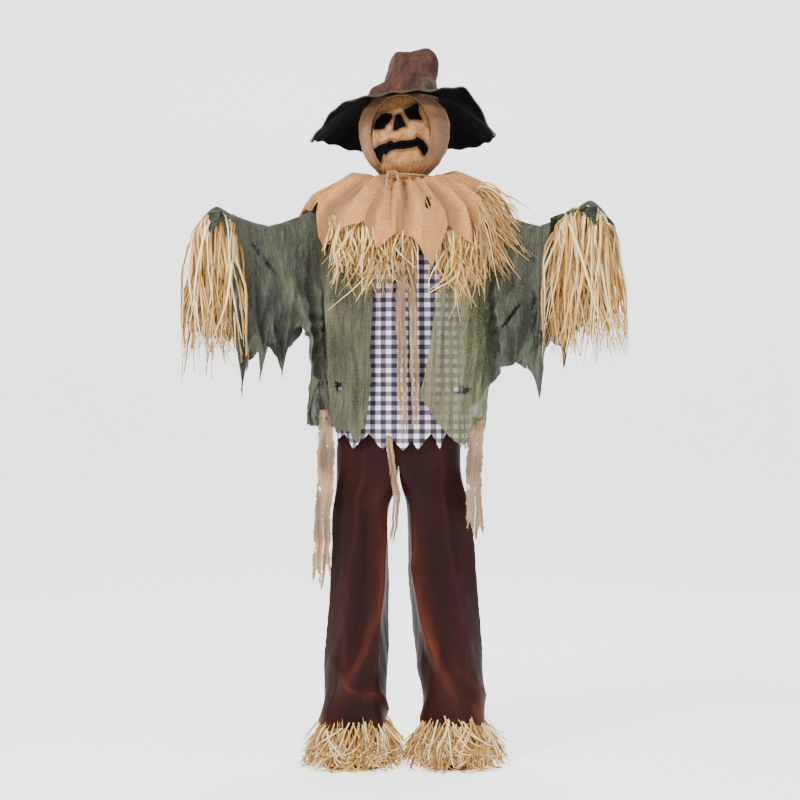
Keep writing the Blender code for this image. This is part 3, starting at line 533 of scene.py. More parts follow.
def open_gauze(name, light, dark, moss, sheer, worn=0.0):
    """Crinkled gauze: thick and thin streaks down the cloth, where the thin ones let light through. sheer is
    the thinnest places' cover, and worn is how much thinner and paler the cloth is on the right side, and
    how much painted shade darkens the left side."""
    finish = Finish(name, 0.95, sheen_weight=0.12, sheen_roughness=0.5)
    streaks = finish.noise(finish.cloth_place((300, 14, 1)), 1.0, 5.0, 0.68)
    cross = finish.noise(finish.cloth_place((30, 420, 1)), 1.0, 3.0, 0.6)
    weave = finish.threads(finish.cloth_place(), 0.0028)
    patch = finish.noise(finish.place(), 9.0, 3.0)
    bunched = finish.noise(finish.place((1, 1, 0.35)), 26.0, 4.0, 0.6)
    tone = 0.42 * streaks + 0.16 * cross + 0.14 * weave + 0.34 * bunched
    base = finish.colours(tone, (0.36, dark), (0.55, light), (0.72, tuple(2.3 * c for c in light)))
    # Painted shade: where the tone map is high, in the folds and crinkles, the colour darkens towards the
    # dark colour.
    painted_shade = finish.add("ShaderNodeAttribute", {"attribute_name": "tone"}, output="Fac")
    stained = finish.mix(patch.clear(0.45, 0.72) * 0.7, base, moss)
    colour = finish.mix(painted_shade * 0.75, stained, dark)
    dense = (streaks * 0.4 + cross * 0.2 + bunched * 0.4).clear(0.42, 0.58)
    side, _, _ = finish.split(finish.place())
    alpha = sheer + (1.0 - sheer) * dense - worn * side.clear(0.02, 0.10)
    # Painted shade: by worn, the left side darkens towards the dark colour.
    colour = finish.mix((1.0 - side.clear(-0.13, 0.05)) * worn, colour, dark)
    colour = finish.mix(side.clear(0.0, 0.10) * worn, colour, tuple(3.2 * c for c in light))
    bumps = finish.relief(streaks + 0.5 * cross + 0.4 * weave + bunched, 0.0026, 1.0)
    return finish.shade(base_color=colour, normal=bumps, alpha=alpha, roughness=0.84 + 0.12 * cross)


def gingham_cotton():
    """Dark and white checks: each of two sets of stripes darkens by half, so they make three tones."""
    finish = Finish("gingham cotton", 0.9, sheen_weight=0.02)
    u, v, _ = finish.split(finish.cloth_place())
    wander = finish.noise(finish.place(), 30.0, 2.0)
    check = 0.0235
    down = (u * (tau / check) + 0.25 * wander).sine().clear(-0.12, 0.12)
    across = (v * (tau / check) + 0.25 * wander).sine().clear(-0.12, 0.12)
    fibre = finish.noise(finish.cloth_place((700, 700, 1)), 1.0, 2.0)
    dark, white = (0.008, 0.005, 0.014), (0.95, 0.90, 0.91)
    middle = (0.160, 0.132, 0.205)
    tone = 0.5 * down + 0.5 * across
    colour = finish.colours(tone, (0.02, white), (0.42, middle), (0.58, middle), (0.98, dark))
    worn = finish.mix(fibre.clear(0.5, 0.8) * 0.25, colour, (0.60, 0.56, 0.55))
    weave = finish.threads(finish.cloth_place(), 0.0012)
    return finish.shade(base_color=worn, normal=finish.relief(weave + fibre, 0.0005, 0.6))


def brown_satin():
    """Satin: near black in its hollows, with a painted rust highlight along the swept folds and fold crests
    that the tone map marks.
    """
    finish = Finish("brown satin", 0.5)
    finish.shader.inputs["Specular IOR Level"].default_value = 0.09
    ribs = finish.noise(finish.cloth_place((700, 30, 1)), 1.0, 3.0)
    painted_sheen = finish.add("ShaderNodeAttribute", {"attribute_name": "tone"}, output="Fac")
    drift = finish.noise(finish.place((1, 1, 0.25)), 11.0, 3.0, 0.5)
    colour = finish.colours(0.62 * painted_sheen + 0.55 * drift, (0.22, (0.0130, 0.0036, 0.0030)),
                            (0.42, (0.0290, 0.0070, 0.0052)), (0.62, (0.0740, 0.0165, 0.0090)),
                            (0.90, (0.1500, 0.0340, 0.0160)))
    return finish.shade(base_color=colour, normal=finish.relief(drift + 0.10 * ribs, 0.004, 0.5),
                        roughness=0.42 + 0.2 * ribs)


def brushed_felt():
    """Red-brown felt with rubbed lighter patches and a mossy stain low on one side."""
    finish = Finish("brown felt", 0.93, sheen_weight=0.12, sheen_roughness=0.45,
                    sheen_tint=(0.6, 0.3, 0.2, 1))
    x, _, z = finish.split(finish.place())
    nap = finish.noise(finish.place((1, 1, 1)), 260.0, 3.0)
    rub = finish.noise(finish.place((1, 1, 0.6)), 34.0, 5.0, 0.65)
    base = finish.colours(rub, (0.30, (0.020, 0.0070, 0.0045)), (0.52, (0.068, 0.0230, 0.0140)),
                          (0.76, (0.150, 0.0560, 0.0350)))
    stain = (x.clear(0.02, 0.06)) * (1.0 - z.clear(1.735, 1.775)) * rub.clear(0.35, 0.6)
    colour = finish.mix(stain * 0.75, base, (0.110, 0.095, 0.045))
    return finish.shade(base_color=colour, normal=finish.relief(nap * 0.5 + rub, 0.003, 0.7))


def black_lining():
    finish = Finish("black hat lining", 0.95)
    finish.shader.inputs["Specular IOR Level"].default_value = 0.05
    grain = finish.noise(finish.place(), 180.0, 3.0)
    colour = finish.colours(grain, (0.3, (0.0010, 0.0009, 0.0009)), (0.75, (0.0035, 0.0026, 0.0024)))
    return finish.shade(base_color=colour, normal=finish.relief(grain, 0.0008, 0.6))


def rubbed_edge():
    finish = Finish("rubbed felt edge", 0.9, sheen_weight=0.3)
    grain = finish.noise(finish.place(), 120.0, 4.0)
    colour = finish.colours(grain, (0.35, (0.012, 0.006, 0.004)), (0.6, (0.045, 0.022, 0.014)),
                            (0.8, (0.110, 0.060, 0.040)))
    return finish.shade(base_color=colour, normal=finish.relief(grain, 0.001, 0.6))


def dry_straw(name, pale, gold, shade):
    """Each strand has its own tone, which carries the painted shade of strands deep in the bunch, and darkens
    and greys in streaks along its length.
    """
    finish = Finish(name, 0.62, sheen_weight=0.1)
    tone = finish.add("ShaderNodeAttribute", {"attribute_name": "tone"}, output="Fac")
    streak = finish.noise(finish.place((1, 1, 0.25)), 240.0, 3.0)
    mixed = 0.78 * tone + 0.40 * streak - 0.09
    colour = finish.colours(mixed, (0.04, shade), (0.28, gold), (0.58, pale), (0.92, (1.0, 0.86, 0.52)))
    ribs = finish.noise(finish.cloth_place((5, 90, 1)), 1.0, 3.0)
    return finish.shade(base_color=colour, normal=finish.relief(ribs + streak, 0.0006, 0.7),
                        roughness=0.50 + 0.3 * streak)


def jute():
    finish = Finish("twisted jute", 0.95, sheen_weight=0.2)
    fibre = finish.noise(finish.cloth_place((18, 160, 1)), 1.0, 4.0)
    colour = finish.colours(fibre, (0.3, (0.20, 0.095, 0.032)), (0.55, (0.44, 0.235, 0.085)),
                            (0.8, (0.62, 0.38, 0.16)))
    return finish.shade(base_color=colour, normal=finish.relief(fibre, 0.0010, 0.9))


def painted_face():
    """Pale sacking with soft-edged black features, and brown stipple and a brown haze where the tone map asks
    for it; the haze is partly stain and partly painted shade round the features.
    """
    finish = Finish("painted sacking face", 0.93, sheen_weight=0.02)
    paint = finish.add("ShaderNodeAttribute", {"attribute_name": "tone"}, output="Fac")
    where = finish.cloth_place()
    weave = finish.threads(where, 0.0016)
    slub = finish.noise(finish.cloth_place((700, 90, 1)), 1.0, 2.0)
    blot = finish.noise(finish.place(), 42.0, 5.0, 0.7)
    specks = finish.noise(finish.place(), 240.0, 2.0, 0.6)
    base = finish.colours(0.35 * weave + 0.65 * slub, (0.25, (0.40, 0.180, 0.060)),
                          (0.60, (0.700, 0.345, 0.128)), (0.85, (0.86, 0.50, 0.22)))
    dirty = finish.mix(blot.clear(0.48, 0.68) * specks.clear(0.38, 0.60) * 0.8, base, (0.130, 0.055, 0.022))
    # A brown haze round the painted features: partly stain, partly painted shade.
    stain_and_shade = (paint * 3.4 + 1.3 * (blot - 0.5)).clear(0.15, 1.2) * 0.85
    dark = finish.mix(stain_and_shade, dirty, (0.140, 0.062, 0.028))
    edge = (paint + 0.34 * (specks - 0.5) + 0.22 * (blot - 0.5)).clear(0.46, 0.72)
    colour = finish.mix(edge, dark, (0.0014, 0.0011, 0.0011))
    finish.shader.inputs["Specular IOR Level"].default_value = 0.05
    return finish.shade(base_color=colour, normal=finish.relief(weave + slub, 0.0008, 0.8))


def powder_coat():
    finish = Finish("black powder coat", 0.45, metallic=0.3)
    orange_peel = finish.noise(finish.place(), 900.0, 2.0)
    rub = finish.noise(finish.place(), 60.0, 4.0)
    colour = finish.colours(rub, (0.4, (0.028, 0.028, 0.031)), (0.75, (0.075, 0.075, 0.080)))
    return finish.shade(base_color=colour, normal=finish.relief(orange_peel, 0.0002, 0.5),
                        roughness=0.36 + 0.2 * rub)


def zinc_plate():
    finish = Finish("zinc plate", 0.35, metallic=1.0)
    crystal = finish.add("ShaderNodeTexVoronoi", None, {"Vector": finish.place(), "Scale": 400.0})
    colour = finish.colours(crystal, (0.0, (0.50, 0.51, 0.53)), (0.8, (0.66, 0.66, 0.62)))
    return finish.shade(base_color=colour, roughness=0.28 + 0.2 * crystal)


def moulded_plastic():
    finish = Finish("moulded head plastic", 0.55)
    grain = finish.noise(finish.place(), 320.0, 2.0)
    colour = finish.colours(grain, (0.3, (0.55, 0.53, 0.48)), (0.8, (0.66, 0.64, 0.58)))
    return finish.shade(base_color=colour, normal=finish.relief(grain, 0.0003, 0.5))


def studio_floor():
    finish = Finish("pale studio floor", 0.7, emission_color=(1.0, 1.0, 1.0, 1.0), emission_strength=1.6)
    drift = finish.noise(finish.place(), 0.6, 2.0)
    colour = finish.colours(drift, (0.3, (0.90, 0.90, 0.90)), (0.8, (0.94, 0.94, 0.94)))
    return finish.shade(base_color=colour)


BURLAP = sacking("burlap", (0.740, 0.315, 0.088), (0.300, 0.110, 0.026))
HOOD_BURLAP = sacking("hood burlap", (0.480, 0.205, 0.062), (0.140, 0.050, 0.015), blotch=0.8)
SLEEVE_GAUZE = open_gauze("dark gauze", light=(0.060, 0.068, 0.040), dark=(0.005, 0.006, 0.004),
                          moss=(0.048, 0.042, 0.019), sheer=0.78)
# worn thins and pales the jacket's right side, and paints shade on its left side.
JACKET_GAUZE = open_gauze("olive gauze", light=(0.118, 0.122, 0.060), dark=(0.022, 0.024, 0.012),
                          moss=(0.085, 0.075, 0.032), sheer=0.72, worn=0.38)
RAG_GAUZE = open_gauze("beige gauze", light=(0.370, 0.225, 0.115), dark=(0.085, 0.045, 0.020),
                       moss=(0.240, 0.155, 0.082), sheer=0.78)
GINGHAM = gingham_cotton()
SATIN = brown_satin()
FELT = brushed_felt()
FELT_EDGE = rubbed_edge()
LINING = black_lining()
STRAW = dry_straw("straw", (0.950, 0.670, 0.260), (0.700, 0.370, 0.080), (0.085, 0.036, 0.010))
ORANGE_STRAW = dry_straw("orange straw", (0.900, 0.600, 0.260), (0.640, 0.310, 0.075), (0.110, 0.045, 0.012))
JUTE = jute()
FACE = painted_face()
FRAME_FINISHES = {"steel": powder_coat(), "zinc": zinc_plate(), "head_plastic": moulded_plastic()}


# Camera and studio


def camera():
    lens = bpy.data.cameras.new("camera")
    lens.lens = LENS
    lens.sensor_width = 36.0
    view = bpy.data.objects.new("camera", lens)
    view.location = (EYE_SIDE, -EYE_AWAY, EYE_HEIGHT)
    view.rotation_euler = (pi / 2, 0, 0)
    bpy.context.scene.collection.objects.link(view)
    bpy.context.scene.camera = view


def light(name, place, aim, size, power, colour=(1, 1, 1)):
    lamp = bpy.data.lights.new(name, "AREA")
    lamp.size = size
    lamp.energy = power
    lamp.color = colour
    obj = bpy.data.objects.new(name, lamp)
    obj.location = place
    direction = np.array(aim, float) - np.array(place, float)
    level = np.hypot(direction[0], direction[1])
    heading = np.arctan2(direction[1], direction[0])
    obj.rotation_euler = (np.arctan2(level, -direction[2]), 0, heading - pi / 2)
    bpy.context.scene.collection.objects.link(obj)


def studio():
    """A pale floor that curves up into a wall far behind, and three soft lamps."""
    far, rise = 9.0, 3.0
    s = np.linspace(0, 1, 40)
    y = np.concatenate((np.linspace(-far, far - rise, 20), far - rise + rise * np.sin(s * pi / 2)))
    z = np.concatenate((np.zeros(20), rise * (1 - np.cos(s * pi / 2))))
    y, z = np.append(y, far), np.append(z, 9.0)
    x = np.linspace(-far, far, 24)
    points = together(x[None, :], y[:, None], z[:, None])
    mesh = mesh_from("studio_floor", points.reshape(-1, 3), grid_faces(len(y), len(x)).reshape(-1, 4))
    finished("studio_floor", mesh, studio_floor())
    world = bpy.data.worlds.new("studio")
    world.use_nodes = True
    sky = world.node_tree.nodes["Background"]
    sky.inputs["Color"].default_value = (1.0, 1.0, 1.0, 1.0)
    sky.inputs["Strength"].default_value = SKY_STRENGTH
    bpy.context.scene.world = world
    light("key", (-2.2, -3.2, 4.2), (0, 0, 1.1), 1.1, 330)
    light("fill", (3.0, -3.6, 2.2), (0, 0, 1.0), 2.2, 70)
    light("back", (1.5, 3.2, 3.6), (0, 0, 1.2), 2.0, 110)


camera()
studio()


# Neck cord


def tail(name, route):
    line = smooth_line(route, 70)
    piece = rope(name, line, CORD_R, JUTE)
    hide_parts(name.replace("_rope", ""))
    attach(piece, "stand")


def neck_cord():
    low, high = corners("neck_cord")
    radius = (high[0] - low[0]) / 2 - CORD_R
    angle = np.linspace(0, tau, 220, endpoint=False)
    z = (low[2] + high[2]) / 2 + 0.0012 * np.sin(3 * angle)
    line = np.stack((radius * np.cos(angle), radius * np.sin(angle), z), 1)
    ring = rope("neck_cord_ring", line, CORD_R, JUTE, loop=True)
    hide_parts("neck_cord")
    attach(ring, "stand")
    low, high = corners("neck_cord_knot")
    middle, half = (low + high) / 2, (high - low) / 2 - CORD_R * 0.6
    t = np.linspace(0, tau, 160, endpoint=False)
    loops_x, loops_z = np.sin(t) + 2 * np.sin(2 * t), np.cos(t) - 2 * np.cos(2 * t)
    shape = np.stack((loops_x, 1.4 * np.sin(3 * t), loops_z), 1) / 3
    knot = rope("neck_cord_knot_rope", middle + shape * half, CORD_R * 0.95, JUTE, loop=True)
    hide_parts("neck_cord_knot")
    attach(knot, "stand")
    tail("neck_cord_tail_long_rope", TAIL_LONG)
    tail("neck_cord_tail_short_rope", TAIL_SHORT)


neck_cord()


# Head


# The painted outlines are in millimetres from the middle of the face.
FACE_MIDDLE = (-0.010, 1.590)
MM = 0.001
EYE_LEFT = [(-66, 26), (-60, 42), (-48, 55), (-35, 59), (-21, 56), (-19, 48), (-27, 35), (-35, 28), (-39, 19),
            (-51, 18), (-65, 21)]
EYE_RIGHT = [(10, 67), (24, 73), (40, 83), (46, 79), (46, 63), (54, 42), (24, 41), (17, 49), (12, 61)]
NOSE = [(-9, 51), (0, 53), (8, 37), (13, 23), (0, 20), (-7, 15), (-16, 14), (-14, 32)]
MOUTH = [(-64, -28), (-51, -21), (-35, -18), (-25, -12), (-14, -17), (1, -12), (19, -12), (35, -9), (42, -3),
         (56, -9), (63, -17), (71, -31), (63, -45), (56, -44), (52, -35), (42, -24), (28, -28), (10, -31),
         (-14, -32), (-25, -35), (-35, -44), (-41, -40), (-45, -49), (-47, -61), (-55, -63), (-57, -81),
         (-64, -52)]


def face():
    """The face cloth: an egg-shaped front whose features are bells and soft steps added outwards, and a
    paint map from the signed distance to each painted outline."""
    x, z = np.meshgrid(np.linspace(-0.092, 0.074, 200), np.linspace(1.492, 1.704, 254))
    fx, fz = (x - FACE_MIDDLE[0]) / MM, (z - FACE_MIDDLE[1]) / MM
    eyes = np.maximum(inside_distance(fx, fz, EYE_LEFT), inside_distance(fx, fz, EYE_RIGHT))
    nose = inside_distance(fx, fz, NOSE)
    mouth = inside_distance(fx, fz, MOUTH)
    near = np.maximum(np.maximum(eyes, nose), mouth)
    # The wide outer part of the paint map drives the finish's brown haze, partly painted shade.
    paint = 0.4 * ramp(-17.0, -1.0, near) + 0.6 * ramp(-3.2, 1.4, near)
    egg = np.sqrt(np.clip(1 - (x / 0.104) ** 2 - ((z - 1.603) / 0.122) ** 2, 0.0, 1))
    out = 0.1045 * egg
    nose_x = 2 + 0.10 * (50 - fz)
    out += 0.011 * bump(fx, nose_x - 4, 9 + 0.10 * (60 - fz)) * ramp(70, 28, fz) * ramp(8, 22, fz)
    out += 0.005 * bump(fz, 68 + 0.25 * fx, 9) * ramp(80, 40, np.abs(fx))
    out += 0.009 * bump(fx, -40, 17) * bump(fz, 2, 17)
    out += 0.010 * bump(fx, 42, 18) * bump(fz, 18, 15)
    lip = -6 + 0.1 * fx + 14 * bump(fx, 12, 30)
    out += 0.007 * bump(fz, lip, 7.5) * ramp(62, 35, np.abs(fx - 4))
    out += 0.006 * bump(fx, 0, 30) * bump(fz, -66, 16)
    out -= 0.008 * ramp(-3, 6, eyes) + 0.009 * ramp(-2, 6, mouth)
    gathers = ramp(-45, -90, fz)
    out += 0.0022 * gathers * ridge(fx * 0.62 + 1.5 * ripple(fx * 0.05, fz * 0.05, 3))
    out += 0.0014 * ripple(fx * 0.09, fz * 0.07, 5) * (1 - paint)
    out += 0.0018 * ramp(70, 92, fz) * ridge(fx * 0.5 + ripple(fx * 0.08, fz * 0.1, 8))
    points = np.stack((x, -out, z), -1)
    cell_x, cell_z = fx[:-1, :-1], fz[:-1, :-1]
    keep = (cell_x / 84) ** 2 + ((cell_z - 6) / 109) ** 2 < 1
    uv = np.stack((x, z), -1)
    piece = cloth("face_cloth", points, FACE, SACKING, keep=keep, uv=uv, tone=paint)
    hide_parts("face_mask")
    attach(piece, "head")


def hood():
    """The sack: rings from the gathered neck over the crown of the head, with pleats that fade upwards, cut
    away in front where its rolled edge frames the face."""
    low, high = corners("hood")
    rows, columns = 130, 270
    v = np.linspace(0, 1, rows)[:, None]
    a = np.linspace(0, tau, columns, endpoint=False)[None, :]
    height = high[2] - low[2]
    z = low[2] + height * (v * 0.78 + 0.22 * np.sin(v * pi / 2))
    shares = [0.0, 0.05, 0.12, 0.22, 0.35, 0.50, 0.65, 0.78, 0.88, 0.95, 0.985, 1.0]
    radii = [0.052, 0.051, 0.062, 0.088, 0.108, 0.1165, 0.1155, 0.104, 0.080, 0.052, 0.028, 0.001]
    radius = np.interp((z - low[2]) / height, shares, radii)
    pleats = ridge(19 * a + 2.0 * ripple(3 * a, v * 2, 2)) * 0.0042 * ramp(0.42, 0.05, v)
    free = ramp(0.08, 0.4, v) * ramp(1.0, 0.9, v)
    waves = 0.0050 * ripple(np.cos(a) * 3 + 9, np.sin(a) * 3 + v * 5, 4) * free
    creases = 0.0026 * ripple(np.cos(a) * 9 + 3, np.sin(a) * 9 + v * 16, 6) * ramp(1.0, 0.85, v)
    front = np.maximum(0.0, -np.sin(a))
    r = radius + pleats + waves + creases
    x = r * np.cos(a)
    y = r * np.sin(a) * (1.0 - 0.05 * front)
    edge_x, edge_z = (x + 0.0090) / 0.0760, (z - 1.598) / 0.0980
    away = np.sqrt(edge_x**2 + edge_z**2) + 0.020 * ripple(4 * edge_x, 4 * edge_z, 9)
    frontal = y < -0.020
    roll = bump(away, 1.05, 0.09) * frontal * (0.6 + 0.5 * ripple(a * 3, z * 14, 19))
    y = y - 0.0045 * roll
    loose = ridge(z * 70 + 3 * ripple(x * 30, z * 20, 23)) * frontal * ramp(1.45, 1.1, away)
    y = y - 0.0022 * loose
    keep = ~((away < 1.0) & frontal)[:-1]
    # Painted shade for the finish: in the pleats and creases, in a dark rim round the face opening, and over
    # the right side of the front.
    hollow = ramp(0.0005, -0.007, pleats + waves + creases) + 0.5 * ramp(1.16, 1.02, away) * frontal
    hollow = hollow + 0.7 * ramp(0.055, 0.095, x) * frontal
    piece = cloth("sack_hood", together(x, y, z), HOOD_BURLAP, SACKING, loop=True, keep=keep,
                  uv=together(a * 0.112, z), tone=np.minimum(hollow, 1.0), offset=-1.0)
    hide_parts("hood")
    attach(piece, "head")


# Hat


def crown():
    """The crown: rings that shrink upwards and lean, pinched at the top into a dent, with soft creases."""
    low, high = corners("hat_crown")
    rows, columns = 110, 220
    v = np.linspace(0, 1, rows)[:, None]
    a = np.linspace(0, tau, columns, endpoint=False)[None, :]
    height = high[2] - low[2] - 0.002
    rise = np.interp(v, [0, 0.76, 0.84, 0.90, 0.95, 1.0], [0.0, 0.90, 0.975, 0.995, 0.985, 0.94])
    half_x = np.interp(v, [0, 0.10, 0.22, 0.34, 0.40, 0.62, 0.76, 0.84, 0.90, 0.95, 1.0],
                       [0.0795, 0.0785, 0.0735, 0.0650, 0.0660, 0.0625, 0.0560, 0.0450, 0.0310, 0.0160,
                        0.0004])
    half_y = half_x * 1.14
    lean_x = 0.0105 + 0.0130 * ramp(0.05, 0.6, v)
    sag = 0.0050 * ripple(2.2 * np.cos(a) + 4, 2.2 * np.sin(a) + 3 * v, 1)
    drift = 2 * ripple(2 * np.cos(a), 2 * np.sin(a) + 4 * v, 2)
    creases = 0.0042 * ridge(3 * a + 9 * v + drift) * ramp(0.0, 0.3, v)
    dents = bump(np.sin(a / 2 - 2.3), 0, 0.22) + bump(np.sin(a / 2 + 0.75), 0, 0.22)
    pinch = -0.010 * dents * bump(v, 0.72, 0.18)
    push = (sag + creases + pinch) * ramp(1.0, 0.88, v)
    bulge = 0.022 * bump(a, 1.02 * pi, 0.60) * ramp(0.30, 0.18, v)
    x = lean_x + (half_x + push + bulge) * np.cos(a)
    y = 0.020 + (half_y + push) * np.sin(a)
    z = low[2] + height * rise + 0.006 * np.cos(a - 0.6) * ramp(0.6, 0.9, v) * ramp(1.0, 0.9, v) - 0.003
    z = z + 0.004 * ripple(3 * np.cos(a), 3 * np.sin(a) + 2 * v, 7) * ramp(0.0, 0.5, v)
    piece = cloth("felt_crown", together(x, y, z), FELT, FELT_THICK, loop=True,
                  uv=together(a * 0.08, v * height), offset=-1.0)
    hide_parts("hat_crown")
    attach(piece, "hat")


def brim():
    """The brim: from the crown outwards, near level in front and drooping at the sides and back, with waves
    that grow to the edge. Its top is felt and its underside is the black lining."""
    rows, columns = 64, 360
    s = np.linspace(0, 1, rows)[:, None]
    a = np.linspace(0, tau, columns, endpoint=False)[None, :]
    side, back, front = np.abs(np.cos(a)), np.maximum(0, np.sin(a)), np.maximum(0, -np.sin(a))
    inner_x, inner_y = 0.0775, 0.0905
    edge = 1 + 0.030 * ripple(2.5 * np.cos(a) + 7, 2.5 * np.sin(a) + 2, 3)
    edge = edge + 0.025 * bump(a, 1.04 * pi, 0.25)
    half_x = inner_x + (0.236 * edge - inner_x) * s
    half_y = inner_y + (0.206 * edge - inner_y) * s
    x = 0.0125 * (1 - s) + half_x * np.cos(a)
    y = 0.020 + 0.015 * s + half_y * np.sin(a)
    droop = 0.100 * side**2.2 + 0.108 * back**2 + 0.010 * front
    right_front = bump(a, 1.74 * pi, 0.36)
    left_front = bump(a, 1.26 * pi, 0.25)
    z = BRIM_Z - droop * s**1.6 + 0.042 * right_front * s**1.2 + 0.004 * left_front * s
    z = z + 0.007 * np.sin(5 * a + 0.7) * s**2 + 0.006 * ripple(3 * np.cos(a), 3 * np.sin(a) + s, 12) * s
    z = z + 0.0022 * np.sin(a * 23 + 3 * s) * ramp(0.75, 1.0, s)
    points = np.stack((x, y, z), -1)
    piece = cloth("felt_brim", points, FELT, FELT_THICK, loop=True,
                  uv=together(a * 0.2, s * 0.13), flip=True)
    piece.data.materials.append(LINING)
    wall = piece.modifiers["wall"]
    wall.offset = -1.0
    wall.material_offset = 1
    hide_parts("hat_brim")
    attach(piece, "hat")
    trim = points[-1] + np.array((0, 0, -0.0015))
    closed = np.vstack((trim, trim[:1]))
    step = np.linspace(0, columns, 2 * columns, endpoint=False)
    line = np.stack([np.interp(step, np.arange(columns + 1), closed[:, k]) for k in range(3)], 1)
    edging = rope("brim_edging", line, 0.0018, FELT_EDGE, loop=True, pitch=0.004, around=8)
    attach(edging, "hat")


face()
hood()
crown()
brim()


# Collar


# The collar's drop in metres at each direction in degrees, and the directions where its points part.
COLLAR_EDGE = [(-90, 0.158), (-85, 0.165), (-75, 0.240), (-64, 0.127), (-50, 0.194), (-37, 0.070),
               (-24, 0.058), (-6, 0.050), (14, 0.085), (30, 0.150), (48, 0.105), (64, 0.180), (80, 0.120),
               (96, 0.190), (112, 0.125), (130, 0.175), (148, 0.100), (164, 0.110), (178, 0.077),
               (196, 0.086), (212, 0.082), (214, 0.150), (218, 0.182), (232, 0.150), (246, 0.127),
               (256, 0.196), (265, 0.158), (270, 0.158)]
COLLAR_NOTCHES = [-95.01, -64, -36, -6, 14, 48, 80, 112, 148, 164, 196, 213, 246, 265, 294]


def collar():
    """The collar: a gathered band in the cord's groove, then out over the shoulders and down, each
    direction cut where its drop reaches the edge outline's, which runs in points."""
    columns, rows = 420, 90
    degrees = np.linspace(-90, 270, columns, endpoint=False)
    a = np.radians(degrees)[None, :]
    t = np.linspace(0, 1, 160)[:, None]
    level = np.abs(np.sin(a))
    run = [0.0, 0.06, 0.11, 0.17, 0.28, 0.40, 0.55, 0.75, 1.0]
    half_x = np.interp(t, run, [0.060, 0.064, 0.074, 0.092, 0.132, 0.184, 0.242, 0.268, 0.276])
    half_y = np.interp(t, run, [0.060, 0.064, 0.073, 0.088, 0.118, 0.140, 0.152, 0.157, 0.161])
    drop_side = np.interp(t, run, [0.0, 0.015, 0.012, 0.002, -0.006, 0.014, 0.048, 0.080, 0.180])
    drop_front = np.interp(t, run, [0.0, 0.017, 0.017, 0.016, 0.026, 0.055, 0.105, 0.185, 0.290])
    drop = drop_side * (1 - level**1.3) + drop_front * level**1.3
    edge = np.interp(degrees, *np.array(COLLAR_EDGE).T) + 0.004 * ripple(degrees * 0.35, 0, 21)
    fine = np.argmax(drop >= edge[None, :], axis=0)
    fine = np.where(fine == 0, len(t) - 1, fine) / (len(t) - 1)
    share = np.linspace(0, 1, rows)[:, None] * fine[None, :]
    place = share * (len(t) - 1)
    i = np.clip(place.astype(int), 0, len(t) - 2)
    j = np.arange(columns)[None, :]
    rest = place - i

    def read(table):
        table = np.broadcast_to(table, (len(t), columns))
        return table[i, j] * (1 - rest) + table[i + 1, j] * rest

    rx, ry, rz = read(half_x), read(half_y), read(drop)
    swing = 2.2 * ripple(2.4 * np.cos(a) + 3, 2.4 * np.sin(a), 5)
    gathers = 0.0090 * ridge(26 * a + swing) * ramp(0.03, 0.16, share) * ramp(0.62, 0.2, share)
    folds = 0.0125 * ridge(14 * a + 2 * swing + 2 * share) * ramp(0.12, 0.45, share)
    wrinkle = 0.0060 * ripple(8 * np.cos(a) + 4 * share, 8 * np.sin(a) + 3 * share, 15)
    wrinkle = wrinkle * ramp(0.1, 0.4, share)
    petal = np.searchsorted(COLLAR_NOTCHES, degrees) - 1
    opens, closes = np.array(COLLAR_NOTCHES)[petal], np.array(COLLAR_NOTCHES)[petal + 1]
    part = ((degrees - opens) / (closes - opens))[None, :]
    folds = folds + 0.0120 * (part**1.6 - 0.4) * ramp(0.22, 0.60, share)
    band = ridge(30 * a) * 0.0018 * ramp(0.10, 0.02, share)
    push = gathers + folds + wrinkle + band
    steep = ramp(0.35, 0.75, share) * (0.35 + 0.65 * level)
    x = (rx + push * steep) * np.cos(a)
    y = (ry + push * steep) * np.sin(a)
    z = COLLAR_Z - rz + push * (1 - steep) * ramp(0.06, 0.2, share)
    points = np.stack((x, y, z), -1)
    frayed = 0.7 + 0.7 * ripple(x * 300, z * 300, 8)
    tear = (((x - 0.0585) / 0.010) ** 2 + ((z - 1.420) / 0.018) ** 2 < frayed) & (y < 0)
    threads = np.arange(columns)[None, :] % 3 == 0
    keep = ~(tear & ~threads)[:-1]
    # Painted shade in the hollows of the folds and gathers.
    hollow = ramp(0.000, -0.018, push) * ramp(0.04, 0.15, share)
    piece = cloth("sacking_collar", points, BURLAP, SACKING, loop=True, keep=keep,
                  uv=together(a * 0.15, share * 0.25), tone=hollow, offset=-1.0, flip=True)
    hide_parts("collar")
    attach(piece, "stand")


# Clothes


